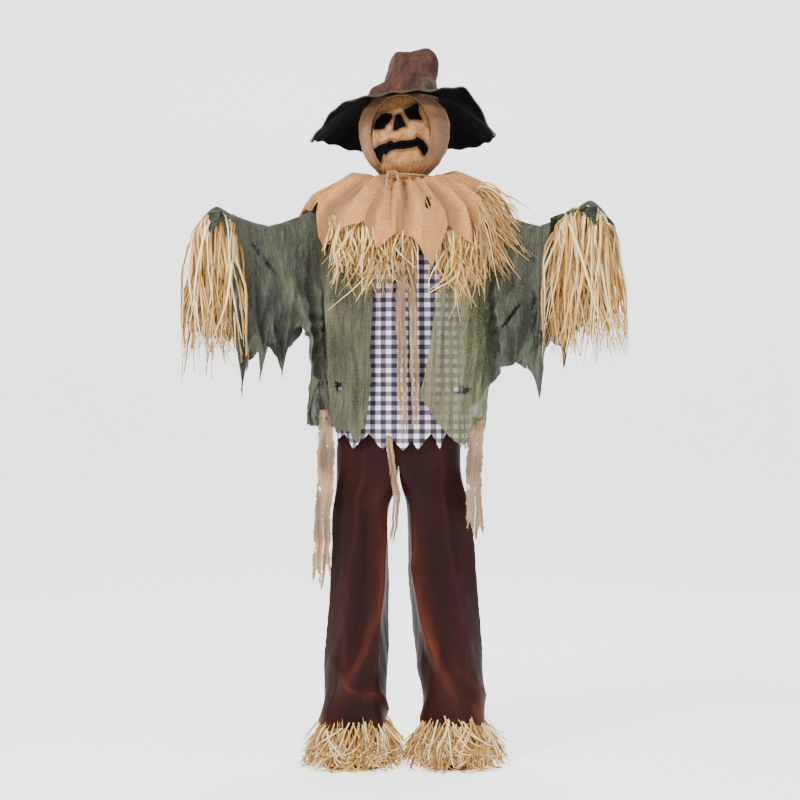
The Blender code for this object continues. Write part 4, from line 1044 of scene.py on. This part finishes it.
def shirt():
    """The shirt: a loop round the body with soft upright folds, and a hem cut in points."""
    columns, rows = 300, 110
    a = np.linspace(-pi / 2, 1.5 * pi, columns, endpoint=False)[None, :]
    v = np.linspace(0, 1, rows)[:, None]
    tips = [-0.181, -0.155, -0.132, -0.091, -0.055, -0.036, -0.002, 0.020, 0.035, 0.069, 0.091, 0.110, 0.16]
    lows = [0.815, 0.846, 0.806, 0.846, 0.802, 0.838, 0.802, 0.828, 0.804, 0.846, 0.806, 0.848, 0.81]
    x0 = 0.176 * np.cos(a)
    hem = np.interp(x0, tips, lows)
    hem = np.where(np.sin(a) > 0, 0.822 + 0.018 * np.sin(13 * a), hem)
    hem = hem + 0.002 * ripple(a * 40, 0, 4)
    z = SHIRT_Z - (SHIRT_Z - hem) * v
    levels = [0.80, 1.10, 1.28, 1.38, 1.425, SHIRT_Z]
    half_x = np.interp(z, levels, [0.173, 0.171, 0.168, 0.150, 0.118, 0.060])
    half_y = np.interp(z, levels, [0.100, 0.102, 0.102, 0.086, 0.070, 0.048])
    folds = 0.0030 * ridge(11 * a + 2 * ripple(3 * a, v * 2, 6)) * ramp(0.1, 0.5, v)
    wave = 0.0030 * ripple(4 * np.cos(a) + 2, 4 * np.sin(a) + 6 * v, 9)
    push = folds + wave
    points = np.stack(((half_x + push) * np.cos(a), (half_y + push) * np.sin(a), z), -1)
    girth = 0.88
    piece = cloth("gingham_shirt", points, GINGHAM, CLOTH, loop=True,
                  uv=together(a * girth / tau, z), flip=True)
    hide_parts("shirt")
    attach(piece, "stand")


JACKET_LEFT_HEM = [(-0.262, 0.905), (-0.2215, 0.868), (-0.2165, 0.932), (-0.2110, 0.985), (-0.202, 0.872),
                   (-0.175, 0.858), (-0.150, 0.852), (-0.127, 0.823), (-0.112, 0.850), (-0.097, 0.866),
                   (0.0, 0.866)]
JACKET_RIGHT_HEM = [(0.0, 0.930), (0.049, 0.926), (0.070, 0.895), (0.100, 0.862), (0.145, 0.811),
                    (0.163, 0.830), (0.185, 0.831), (0.209, 0.862), (0.215, 0.979), (0.262, 0.990)]


def jacket():
    """The open jacket: a C in plan from one front edge round the back to the other, falling in long
    folds to a torn hem. Its front edges wander, and the right one turns back at the foot."""
    columns, rows = 330, 130
    v = np.linspace(0, 1, rows)[:, None]
    u = np.linspace(0, 1, columns)[None, :]
    level = JACKET_Z - 0.62 * v
    left_edge = np.interp(level, [0.85, 0.98, 1.17, 1.40], [-0.099, -0.083, -0.073, -0.070])
    right_edge = np.interp(level, [0.85, 0.92, 1.00, 1.10, 1.20, 1.28, 1.40],
                           [0.034, 0.048, 0.058, 0.066, 0.080, 0.086, 0.080])
    start = np.arcsin(np.clip(left_edge / 0.225, -1, 0)) - pi / 2
    end = np.arcsin(np.clip(right_edge / 0.225, 0, 1)) - pi / 2
    a = start - (tau - (end - start)) * u
    x0 = 0.222 * np.cos(a)
    left_hem = np.interp(x0, *np.array(JACKET_LEFT_HEM).T)
    right_hem = np.interp(x0, *np.array(JACKET_RIGHT_HEM).T)
    hem = np.where(x0 < 0, left_hem, right_hem)
    rear = np.sin(a) > 0.12
    hem = np.where(rear, 0.850 + 0.030 * ripple(a * 3.0, 0, 3) + 0.022 * np.abs(np.sin(9 * a)), hem)
    hem = hem + 0.0025 * ripple(a * 55, 0, 4)
    z = JACKET_Z - (JACKET_Z - hem) * v
    levels = [0.80, 0.95, 1.07, 1.22, 1.34, 1.42, 1.455, 1.478]
    half_x = np.interp(z, levels, [0.214, 0.222, 0.238, 0.244, 0.238, 0.200, 0.138, 0.073])
    half_y = np.interp(z, levels, [0.123, 0.124, 0.124, 0.123, 0.116, 0.098, 0.084, 0.066])
    fall = ramp(0.05, 0.5, v)
    swing = 2.4 * ripple(2.2 * np.cos(a) + 5, 2.2 * np.sin(a) + 1.2 * v, 4)
    folds = 0.0070 * ridge(15 * a + swing) * fall + 0.0040 * ridge(41 * a + 2 * swing + 5 * v) * fall
    crinkle = 0.0034 * ripple(30 * np.cos(a) + 3 * v, 30 * np.sin(a) + 11 * v, 7)
    sag = 0.0075 * ripple(4 * np.cos(a), 4 * np.sin(a) + 7 * v, 11)
    edge_roll = 0.0040 * (ramp(0.035, 0.0, u) + ramp(0.965, 1.0, u))
    push = folds + crinkle + sag + edge_roll
    x = (half_x + push) * np.cos(a) - 0.030 * bump(x0, -0.222, 0.010) * ramp(1.05, 0.88, z)
    y = (half_y + push) * np.sin(a)
    points = np.stack((x, y, z), -1)
    frayed = 0.7 + 0.9 * ripple(x * 160, z * 260, 8)
    hole = (((x - 0.143) / 0.026) ** 2 + ((z - 0.957) / 0.012) ** 2 < frayed) & (y < 0)
    hole |= (((x + 0.161) / 0.011) ** 2 + ((z - 0.965) / 0.015) ** 2 < frayed) & (y < 0)
    armhole = (((y + 0.050) / 0.075) ** 2 + ((z - 1.375) / 0.060) ** 2 < 1.0) & (np.abs(x) > 0.185)
    keep = ~(hole | armhole)[:-1, :-1]
    # Painted shade in the folds, stronger towards the sides.
    hollow = ramp(0.003, -0.014, folds + crinkle + sag) * (0.4 + 0.6 * ramp(0.13, 0.20, np.abs(x)))
    piece = cloth("jacket_gauze", points, JACKET_GAUZE, CLOTH, keep=keep,
                  uv=together(u * 0.98, z), tone=hollow)
    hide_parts("jacket")
    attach(piece, "stand")


LEG_LEVELS = {-1: [0.117, 0.424, 0.627, 0.770], 1: [0.176, 0.424, 0.553, 0.770]}
LEG_MIDDLES = {-1: [-0.1275, -0.1145, -0.1130, -0.1020], 1: [0.1255, 0.1010, 0.0940, 0.0820]}
LEG_HALVES = {-1: [0.0840, 0.0735, 0.0720, 0.0760], 1: [0.0800, 0.0860, 0.0840, 0.0840]}
SWEPT_FOLDS = {-1: ([0.16, 0.22, 0.30, 0.40, 0.50, 0.62], [-0.165, -0.140, -0.100, -0.070, -0.058, -0.056]),
               1: ([0.16, 0.22, 0.30, 0.40, 0.52, 0.66], [0.125, 0.108, 0.074, 0.050, 0.034, 0.022])}


def leg_half(side, low_z, inner):
    """Half of one leg's cloth: its points, its weave place and its painted sheen. The outer half runs from
    the front seam round the outside to the back seam, and the inner half on to the front again. Near the
    crotch the half becomes half of the waist."""
    share = np.linspace(0, 1, 54 if inner else 92)[None, :]
    angle = np.radians(122 + 116 * share if inner else -122 + 244 * share)
    hem = low_z - 0.004 + 0.010 * ripple(2 * np.cos(angle) + 5 * side, 2 * np.sin(angle), 31)
    hem = hem + 0.020 * np.abs(np.sin(3.5 * angle + side))
    z = CROTCH - (CROTCH - hem) * np.linspace(0, 1, 130)[:, None]
    if inner:
        waist_x, waist_y = 0 * share, 0.084 * np.cos(pi * share)
    else:
        waist = np.linspace(WAIST_Z, CROTCH, 22, endpoint=False)[:, None]
        z = np.vstack((np.repeat(waist, share.size, axis=1), z))
        waist_x, waist_y = side * 0.158 * np.sin(pi * share), -0.084 * np.cos(pi * share)
    middle = np.interp(z, LEG_LEVELS[side], LEG_MIDDLES[side])
    half = np.interp(z, LEG_LEVELS[side], LEG_HALVES[side])
    blend = ramp(CROTCH, CROTCH - 0.13, z)
    leg_x = middle + side * half * np.cos(angle)
    x = (CROTCH_SIDE * ramp(0.88, 0.80, z) + waist_x) * (1 - blend) + leg_x * blend
    y = waist_y * (1 - blend) + 0.082 * np.sin(angle) * blend
    across = np.arctan2(y, (x - middle) * side)
    cuff, below = ramp(0.32, 0.12, z), ramp(CROTCH, CROTCH - 0.10, z)
    slant = 2.0 * ripple(x * 9 + 3, z * 6 + y * 8, 41)
    bunches = 0.0065 * ridge(34 * z + 2.4 * np.sin(across + side) + 2 * slant) * cuff
    upright = 0.0050 * ridge(6 * across + 3 * z + slant) * (1 - cuff)
    swept = np.interp(z, *SWEPT_FOLDS[side])
    shown = (y < 0) * ramp(0.14, 0.27, z) * ramp(0.72, 0.52, z)
    crest = bump(x, swept, 0.017) * shown
    hollow = bump(x, swept + 0.030 * side, 0.018) * shown
    push = (bunches + upright + 0.0110 * crest - 0.0070 * hollow) * below
    push = push + 0.0022 * ripple(x * 34, z * 14 + y * 34, 45) * below
    out_x, out_y = x - middle, y
    size = np.maximum(np.hypot(out_x, out_y), 0.01)
    points = np.stack((x + out_x / size * push, y + out_y / size * push, z), -1)
    # Painted sheen: a rust highlight along the swept fold's crest, and on the crests of the cuff bunches and
    # the upright folds.
    tone = 0.48 * crest**0.7 * (0.75 + 0.4 * ripple(z * 9, x * 20, 43))
    tone = tone + 0.45 * cuff * ramp(-0.3, 0.6, bunches / 0.0065) + 0.20 * ramp(0.0, 1.0, upright / 0.005)
    return points, together(across * 0.08, z), np.broadcast_to(tone, z.shape)


def trousers():
    """Two satin legs of two halves each, welded along their seams and at the crotch."""
    low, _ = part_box("trousers")
    points, faces, uvs, tones, base = [], [], [], [], 0
    for side in (-1, 1):
        for inner in (False, True):
            grid, uv, tone = leg_half(side, low[2], inner)
            cells = grid_faces(*grid.shape[:2]).reshape(-1, 4)
            faces.append((cells if side < 0 else cells[:, ::-1]) + base)
            points.append(grid.reshape(-1, 3))
            uvs.append(uv.reshape(-1, 2))
            tones.append(tone.ravel())
            base += tone.size
    mesh = mesh_from("satin_trousers", np.vstack(points), np.vstack(faces), np.vstack(uvs),
                     np.concatenate(tones))
    facing_out(mesh, weld=0.0004)
    piece = finished("satin_trousers", mesh, SATIN)
    walled(piece, CLOTH, -1.0)
    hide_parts("trousers")
    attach(piece, "stand")


# Sleeves


SLEEVE_FRONT_HEMS = {
    -1: [(-0.560, 1.340), (-0.500, 1.380), (-0.434, 1.388), (-0.424, 1.300), (-0.418, 1.080), (-0.408, 1.010),
         (-0.398, 0.936), (-0.386, 1.053), (-0.372, 1.066), (-0.363, 1.053), (-0.348, 0.974), (-0.333, 1.072),
         (-0.323, 1.074), (-0.312, 1.065), (-0.293, 0.981), (-0.270, 1.102), (-0.255, 1.114), (-0.234, 1.087),
         (-0.228, 1.000), (-0.160, 0.950)],
    1: [(0.160, 0.900), (0.214, 0.979), (0.240, 1.010), (0.287, 1.030), (0.300, 1.026), (0.313, 1.000),
        (0.325, 0.930), (0.331, 0.990), (0.339, 1.047), (0.350, 1.070), (0.358, 1.200), (0.366, 1.380),
        (0.450, 1.400), (0.500, 1.390), (0.560, 1.340)],
}
SLEEVE_BACK_HEMS = {
    -1: [(-0.560, 1.120), (-0.470, 1.080), (-0.418, 1.085), (-0.398, 1.000), (-0.360, 1.070), (-0.310, 1.020),
         (-0.270, 1.110), (-0.220, 1.040), (-0.160, 1.020)],
    1: [(0.160, 1.020), (0.240, 1.060), (0.300, 1.010), (0.352, 1.075), (0.378, 1.083), (0.398, 1.066),
        (0.409, 1.002), (0.418, 1.062), (0.431, 1.093), (0.480, 1.150), (0.510, 1.230), (0.560, 1.210)],
}


def arm_line(side, along):
    """The middle line of the arm at distances from the shoulder, with its level direction and the
    direction across it towards the back."""
    level = np.array((side * cos(ARM_YAW), -sin(ARM_YAW), 0.0))
    across = np.cross(UP, level) * side
    shoulder = np.array((side * SHOULDER_X, 0.0, SHOULDER_Z))
    upper = level * cos(UPPER_SLOPE) + UP * sin(UPPER_SLOPE)
    fore = level * cos(FORE_SLOPE[side]) + UP * sin(FORE_SLOPE[side])
    along = np.asarray(along, float)[..., None]
    point = shoulder + upper * np.minimum(along, UPPER_ARM) + fore * np.maximum(along - UPPER_ARM, 0.0)
    return point, level, across


def sleeve_surface(side, along, w):
    """The sleeve over the arm like a saddle, and how deep in a hollow each of its points lies, which the
    finish paints as shade. w runs from -1 at the front hem over 0 on top to 1 at the back hem. It hangs by
    its own weight, and its pleats deepen on the way down."""
    point, level, across = arm_line(side, along)
    top_z = point[..., 2] + ARM_TUBE_R + 0.004 + 0.020 * ramp(0.055, 0.0, along)
    top_z = top_z + 0.006 * bump(along, 0.352, 0.02) - 0.055 * ramp(0.352, 0.410, along)
    top_z = top_z + 0.005 * bump(along, UPPER_ARM, 0.03)
    front = w < 0
    reach = np.abs(w)
    cuff = ramp(0.22, 0.345, along)
    half = 0.030 + np.where(front, 0.014, 0.026) * cuff + 0.018 * ramp(0.1, 0.6, reach)
    shoulder_wide = 0.035 * ramp(0.10, 0.0, along) * (~front)
    over = ramp(0.0, 0.16, reach) ** 0.8
    offset = np.sign(w) * (half + shoulder_wide) * over
    x_here = point[..., 0] + offset * across[0]
    hem_front = np.interp(x_here, *np.array(SLEEVE_FRONT_HEMS[side]).T)
    hem_back = np.interp(x_here, *np.array(SLEEVE_BACK_HEMS[side]).T) + 0.012 * ripple(along * 60, side, 51)
    hem = np.where(front, hem_front, hem_back)
    down = np.clip((reach - 0.10) / 0.90, 0, 1)
    round_top = 0.030 * (1 - np.cos(np.clip(reach / 0.16, 0, 1) * pi / 2))
    z = top_z - round_top - (top_z - 0.030 - hem) * down
    swing = 2.6 * ripple(along * 12 + 3, reach * 2.0, 53 + side)
    pleats = 0.0080 * ridge(along * 115 + 1.6 * swing) * ramp(0.12, 0.75, reach)
    lean = 9.0 * (reach - 0.5) * bump(along, 0.2, 0.1)
    drape = 0.0150 * ridge(along * 38 + lean + swing) * ramp(0.15, 0.7, reach)
    crinkle = 0.0042 * ripple(along * 110, reach * 26, 55) * ramp(0.0, 0.1, reach)
    armpit = np.arctan2(z - 1.12, along * 0.82 + 0.015)
    strain = 0.0052 * ridge(15 * armpit + 0.8 * swing) * ramp(0.15, 0.4, reach) * ramp(0.26, 0.06, along)
    relief = pleats + drape + crinkle + strain
    push = relief * np.where(front, -1.0, 1.0)
    place = np.stack((point[..., 0], point[..., 1], z), -1)
    place = place + across * (offset + push)[..., None]
    sway = 0.006 * ripple(z * 22, along * 30, 57) * ramp(1.10, 1.0, z)
    return place + level * sway[..., None], ramp(0.004, -0.022, relief)


# Each sleeve's slit and slanting gash: the middle in x and z, the half width and the half height.
SLITS = {-1: (-0.3115, 1.122, 0.010, 0.050), 1: (0.3215, 1.140, 0.007, 0.062)}
GASHES = {-1: (-0.345, 1.275, 0.008, 0.045), 1: (0.268, 1.140, 0.006, 0.040)}


def sleeve(side, word):
    """The upper sleeve and the lower one, each baked in place in the rest pose. They meet on the arm."""
    meet = UPPER_ARM * 0.62
    upper, fore = f"upper_arm_{word}", f"forearm_{word}"
    pieces = (("sleeve_upper", ("stand", upper), (SLEEVE_START, meet), 170, 0.0, 0.2, 0.17),
              ("sleeve_lower", (upper, fore), (meet, SLEEVE_END), 190, UPPER_ARM, 1.0, 0.24))
    for name, bodies, (start, end), columns, bend, before, width in pieces:
        along, w = np.meshgrid(np.linspace(start, end, columns), np.linspace(-1, 1, 150))
        # hollow is painted shade in the pleats and drapes.
        points, hollow = sleeve_surface(side, along, w)
        x, z = points[..., 0], points[..., 2]
        slit_x, slit_z, half_x, half_z = SLITS[side]
        slit = ((x - slit_x) / half_x) ** 2 + ((z - slit_z) / half_z) ** 2
        slit = slit + 0.3 * ripple(z * 60, along * 60, 61)
        gash_x, gash_z, half_x, half_z = GASHES[side]
        slant = (x - gash_x) - side * 0.75 * (z - gash_z)
        gash = (slant / half_x) ** 2 + ((z - gash_z) / half_z) ** 2
        keep = ~((((slit < 1.0) | (gash < 0.8)) & (w < 0))[:-1, :-1])
        piece = cloth(f"{name}_{word}_gauze", points, SLEEVE_GAUZE, CLOTH, keep=keep,
                      uv=together(along, w * SLEEVE_DROP), tone=hollow, flip=(side < 0))
        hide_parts(f"{name}_{word}")
        pivot, level, _ = arm_line(side, bend)
        tuple(pivot - level * BEND_REACH * before)
        tuple(pivot + level * BEND_REACH)
        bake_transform(piece)


# Rags


def rag_strip(name, node, curl, seed, tuck=0.0):
    """A torn strip of gauze: frayed edges that wander in and out, one long split, a few holes, and slow
    bends as it hangs. Its top end runs back by tuck, under the cloth above it."""
    low, high = corners(node)
    rows, columns = 210, 42
    v = np.linspace(0, 1, rows)[:, None]
    u = np.linspace(-1, 1, columns)[None, :]
    rise = 0.6 * tuck
    length = float(high[2] - low[2]) + rise
    width = float(high[0] - low[0])
    z = high[2] + rise - length * v
    middle = (low[0] + high[0]) / 2 + curl * np.sin(4.4 * v + seed) + 0.004 * ripple(v * 7, seed, 71)
    half = width / 2
    x = middle + u * half * 0.98
    y = (low[1] + high[1]) / 2 - 0.16 * half * np.cos(u * 3.2 + 5 * v + seed)
    y = y + 0.003 * ripple(v * 14, seed, 77)
    y = y + tuck * (0.45 + 0.55 * ramp(0.16, 0.0, v))
    slow = 0.22 * ripple(v * length * 26, u * 0.3 + seed + 3, 73)
    quick = 0.14 * ripple(v * length * 210, u * 2, 79)
    edge = (0.84 + slow + quick) * ramp(1.01, 0.84 + 0.1 * np.sin(7 * u + seed), v)
    gap = 0.10 if seed > 2 else 0.03
    split = np.abs(u - 0.15 * np.sin(9 * v + seed)) < gap * ramp(0.45, 0.75, v)
    holes = ripple(v * length * 45 + seed, u * 1.6, 83) > 0.56
    keep = ((np.abs(u) < edge) & ~split & ~holes)[:-1, :-1]
    # Painted shade in streaks down the strip.
    hollow = 0.9 * ramp(0.1, -0.5, ripple(u * 2.6 + seed, v * length * 9, 87))
    piece = cloth(name, together(x, y, z), RAG_GAUZE, CLOTH, keep=keep,
                  uv=together(u * 0.018 + seed, v * length), tone=hollow)
    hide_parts(node)
    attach(piece, "stand")


# Straw


def hand_straw(side, word):
    """A bunch that springs from the cuff like a fountain: each strand comes out over the forearm's end,
    bends over and hangs, with its own bends on the way down."""
    rng = np.random.default_rng(40 + side)
    low, high = corners(f"straw_hand_{word}")
    wrist, level, across = arm_line(side, WRIST)
    count = 330 if side > 0 else 270
    spread, depth = rng.uniform(-1, 1, count), rng.uniform(-1, 1, count)
    spread = np.sign(spread) * np.abs(spread) ** 0.8
    middle, half = (low + high) / 2, (high - low) / 2
    root = wrist + np.outer(spread * -0.014, across) + np.outer(rng.uniform(-0.008, 0.012, count), UP)
    root = root + np.outer(rng.uniform(-0.03, 0.0, count), level)
    top = high[2] - 0.006 - 0.042 * np.abs(spread) ** 2.4 - rng.uniform(0, 0.020, count)
    over = np.stack((middle[0] + half[0] * spread * 0.84, middle[1] + half[1] * depth * 0.8, top), 1)
    fall = 0.56 + 0.30 * rng.beta(2.6, 1.6, count) + 0.12 * (rng.uniform(0, 1, count) > 0.93)
    tip = np.stack((middle[0] + half[0] * np.clip(spread * 0.95 + rng.normal(0, 0.20, count), -1.12, 1.06),
                    middle[1] + half[1] * np.clip(depth + rng.normal(0, 0.3, count), -1.1, 1.1),
                    high[2] - (high[2] - low[2]) * fall), 1)
    steps = 14
    t = np.linspace(0, 1, steps)[None, :, None]
    first, rest = np.clip(t / 0.2, 0, 1), np.clip((t - 0.2) / 0.8, 0, 1)
    lift = np.sin(first * pi / 2)
    lines = np.where(t < 0.2, root[:, None] * (1 - lift) + over[:, None] * lift,
                     over[:, None] * (1 - rest) + tip[:, None] * rest)
    bent = kinked(rng, lines, 0.030, 0.17)
    lines = lines * (1 - ramp(0.15, 0.3, t)) + bent * ramp(0.15, 0.3, t)
    for axis in (0, 1):
        lines[..., axis] = np.clip(lines[..., axis], low[axis] - 0.020, high[axis] + 0.020)
    lines[..., 2] = np.maximum(lines[..., 2], low[2] - 0.02)
    # Painted shade on the strands at the back of the bunch.
    lit = 0.12 + 0.88 * ramp(0.5, -0.6, depth)
    piece = strands(f"hand_straw_{word}", lines, 0.0062, 0.0014, STRAW, FRONT, rng, lit=lit)
    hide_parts(f"straw_hand_{word}")
    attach(piece, f"forearm_{word}")


def foot_straw(side, word):
    """Straw tied round the ankle that runs down the leg, bends out and spreads flat on the floor."""
    rng = np.random.default_rng(60 + side)
    low, high = corners(f"straw_foot_{word}")
    middle = (low + high) / 2
    reach = (high[0] - low[0]) / 2
    count = 560
    angle = rng.uniform(0, tau, count)
    out = reach * (0.66 + 0.42 * rng.beta(2.0, 1.6, count))
    rise = rng.uniform(0, 1, count) ** 1.6
    root_r = 0.020 + 0.020 * rng.uniform(0, 1, count)
    steps = 12
    t = np.linspace(0, 1, steps)[None, :]
    swell = rng.uniform(0.55, 1.5, count)[:, None]
    r = root_r[:, None] + (out - root_r)[:, None] * ramp(0, 1, t) ** (0.8 + 0.7 * swell / 2)
    z_top = high[2] - 0.006 + rng.uniform(-0.012, 0.010, count)[:, None]
    end_z = (0.002 + 0.060 * rise)[:, None]
    z = end_z + (z_top - end_z) * (1 - ramp(0, 1, t)) ** (0.85 + 0.5 * swell)
    turn = angle[:, None] + rng.normal(0, 0.55, count)[:, None] * t
    turn = turn + rng.normal(0, 0.06, (count, 1)) * np.sin(7 * t)
    lines = np.stack((middle[0] + r * np.cos(turn), r * np.sin(turn), np.maximum(z, 0.0020)), -1)
    lines = kinked(rng, lines, 0.04, 0.42)
    away = np.maximum(np.hypot(lines[..., 0] - middle[0], lines[..., 1]), 0.001)
    limit = 1.14 * reach
    pull = limit * 1.05 * (1 - np.exp(-1.9 * away / limit)) / away
    lines[..., 0] = middle[0] + (lines[..., 0] - middle[0]) * pull
    lines[..., 1] = lines[..., 1] * pull
    lines[..., 2] = np.maximum(lines[..., 2], 0.0020 + 0.006 * rise[:, None])
    # Painted shade on the strands that lie low on the floor.
    lit = 0.30 + 0.70 * ramp(0.0, 0.4, rise)
    facing = UP * 0.8 + FRONT * 0.6
    piece = strands(f"foot_straw_{word}", lines, 0.0060, STRAW_THICK, STRAW, facing, rng, lit=lit)
    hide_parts(f"straw_foot_{word}")
    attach(piece, "stand")


def chest_straw(word, count, spans, seed):
    """Straw that falls over the chest from under the collar, in tangled short ends. spans holds how far the
    roots pass the CAD bunch's side, how deep the straw hangs along its width, and how it leans inwards."""
    rng = np.random.default_rng(seed)
    low, high = corners(f"straw_chest_{word}")
    x = rng.uniform(low[0] + 0.004, high[0] + spans[0], count)
    front_y = -0.140 + 0.045 * (x / 0.243) ** 2
    root = np.stack((x, front_y + 0.012, high[2] + rng.uniform(-0.005, 0.02, count)), 1)
    share = (x - low[0]) / (high[0] - low[0])
    deep = np.interp(share, [0, 0.25, 0.6, 1.0, 1.3], spans[1])
    tip_z = high[2] - (high[2] - low[2]) * deep * rng.uniform(0.45, 1.08, count)
    lean = rng.normal(0.0, 0.020, count) + spans[2] * (0.5 - share)
    tip = np.stack((x + lean, front_y - rng.uniform(-0.004, 0.010, count), tip_z), 1)
    forward = rng.uniform(0, 1, count)
    tip[:, 1] -= 0.008 * forward
    lines = kinked(rng, hanging_lines(rng, root, tip, 10, 0.004, 0.002), 0.05, 0.30)
    lines[..., 1] = np.clip(lines[..., 1], low[1] - 0.012, high[1] + 0.03)
    lines[..., 0] = np.clip(lines[..., 0], low[0] - 0.02, high[0] + 0.022)
    # Painted shade on the strands further back.
    lit = 0.30 + 0.70 * ramp(0.0, 0.7, forward)
    piece = strands(f"chest_straw_{word}", lines, 0.0058, STRAW_THICK, STRAW, FRONT, rng, lit=lit)
    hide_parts(f"straw_chest_{word}")
    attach(piece, "stand")


def shoulder_straw():
    """Longer orange straw that fans out of the torn shoulder over the top of the sleeve."""
    rng = np.random.default_rng(77)
    count = 120
    fan = rng.uniform(0, 1, count)
    root_z = 1.462 - 0.040 * (1 - fan) + rng.normal(0, 0.006, count)
    root = np.stack((0.168 + 0.016 * fan, -0.088 + 0.04 * fan, root_z), 1)
    tip_x = np.interp(fan, [0, 0.5, 1.0], [0.215, 0.262, 0.280]) + rng.normal(0, 0.010, count)
    tip_z = np.interp(fan, [0, 0.5, 1.0], [1.225, 1.295, 1.400]) + rng.normal(0, 0.016, count)
    tip_y = np.interp(fan, [0, 1.0], [-0.142, -0.092]) + rng.normal(0, 0.006, count)
    tip = np.stack((tip_x, tip_y, tip_z), 1)
    lines = kinked(rng, hanging_lines(rng, root, tip, 10, 0.004, 0.002, droop=0.022), 0.04, 0.22)
    lit = rng.uniform(0.3, 1.0, count)
    piece = strands("shoulder_straw_right", lines, 0.0052, 0.0012, ORANGE_STRAW, FRONT, rng, lit=lit)
    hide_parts("straw_shoulder_right")
    pivot, level, _ = arm_line(1, 0.0)
    tuple(pivot - level * 0.009)
    tuple(pivot + level * BEND_REACH)
    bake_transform(piece)


collar()
shirt()
jacket()
trousers()
for side, word in ((-1, "left"), (1, "right")):
    sleeve(side, word)
    hand_straw(side, word)
    foot_straw(side, word)
rag_strip("torn_rag_left", "rag_left", 0.007, 1, 0.062)
rag_strip("torn_rag_right", "rag_right", 0.007, 2, 0.062)
rag_strip("torn_rag_centre_left", "rag_centre_left", 0.003, 3)
rag_strip("torn_rag_centre_right", "rag_centre_right", 0.003, 4)
rag_strip("torn_rag_crotch", "rag_crotch", 0.009, 5, 0.022)
chest_straw("left", 210, (0.004, [0.55, 0.9, 1.0, 0.9, 0.8], 0.05), 81)
chest_straw("right", 140, (0.018, [0.7, 0.9, 1.0, 0.8, 0.7], 0.02), 82)
shoulder_straw()


def refinish_frame():
    """Gives every CAD node that shows its own finish by the record's slot."""
    slots = {part["node"]: part["material_slot"] for part in frame["record"]["subparts"]}
    for node, obj in frame["nodes"].items():
        finish = FRAME_FINISHES.get(slots.get(node))
        if finish:
            for k in range(len(obj.material_slots)):
                obj.material_slots[k].material = finish


refinish_frame()
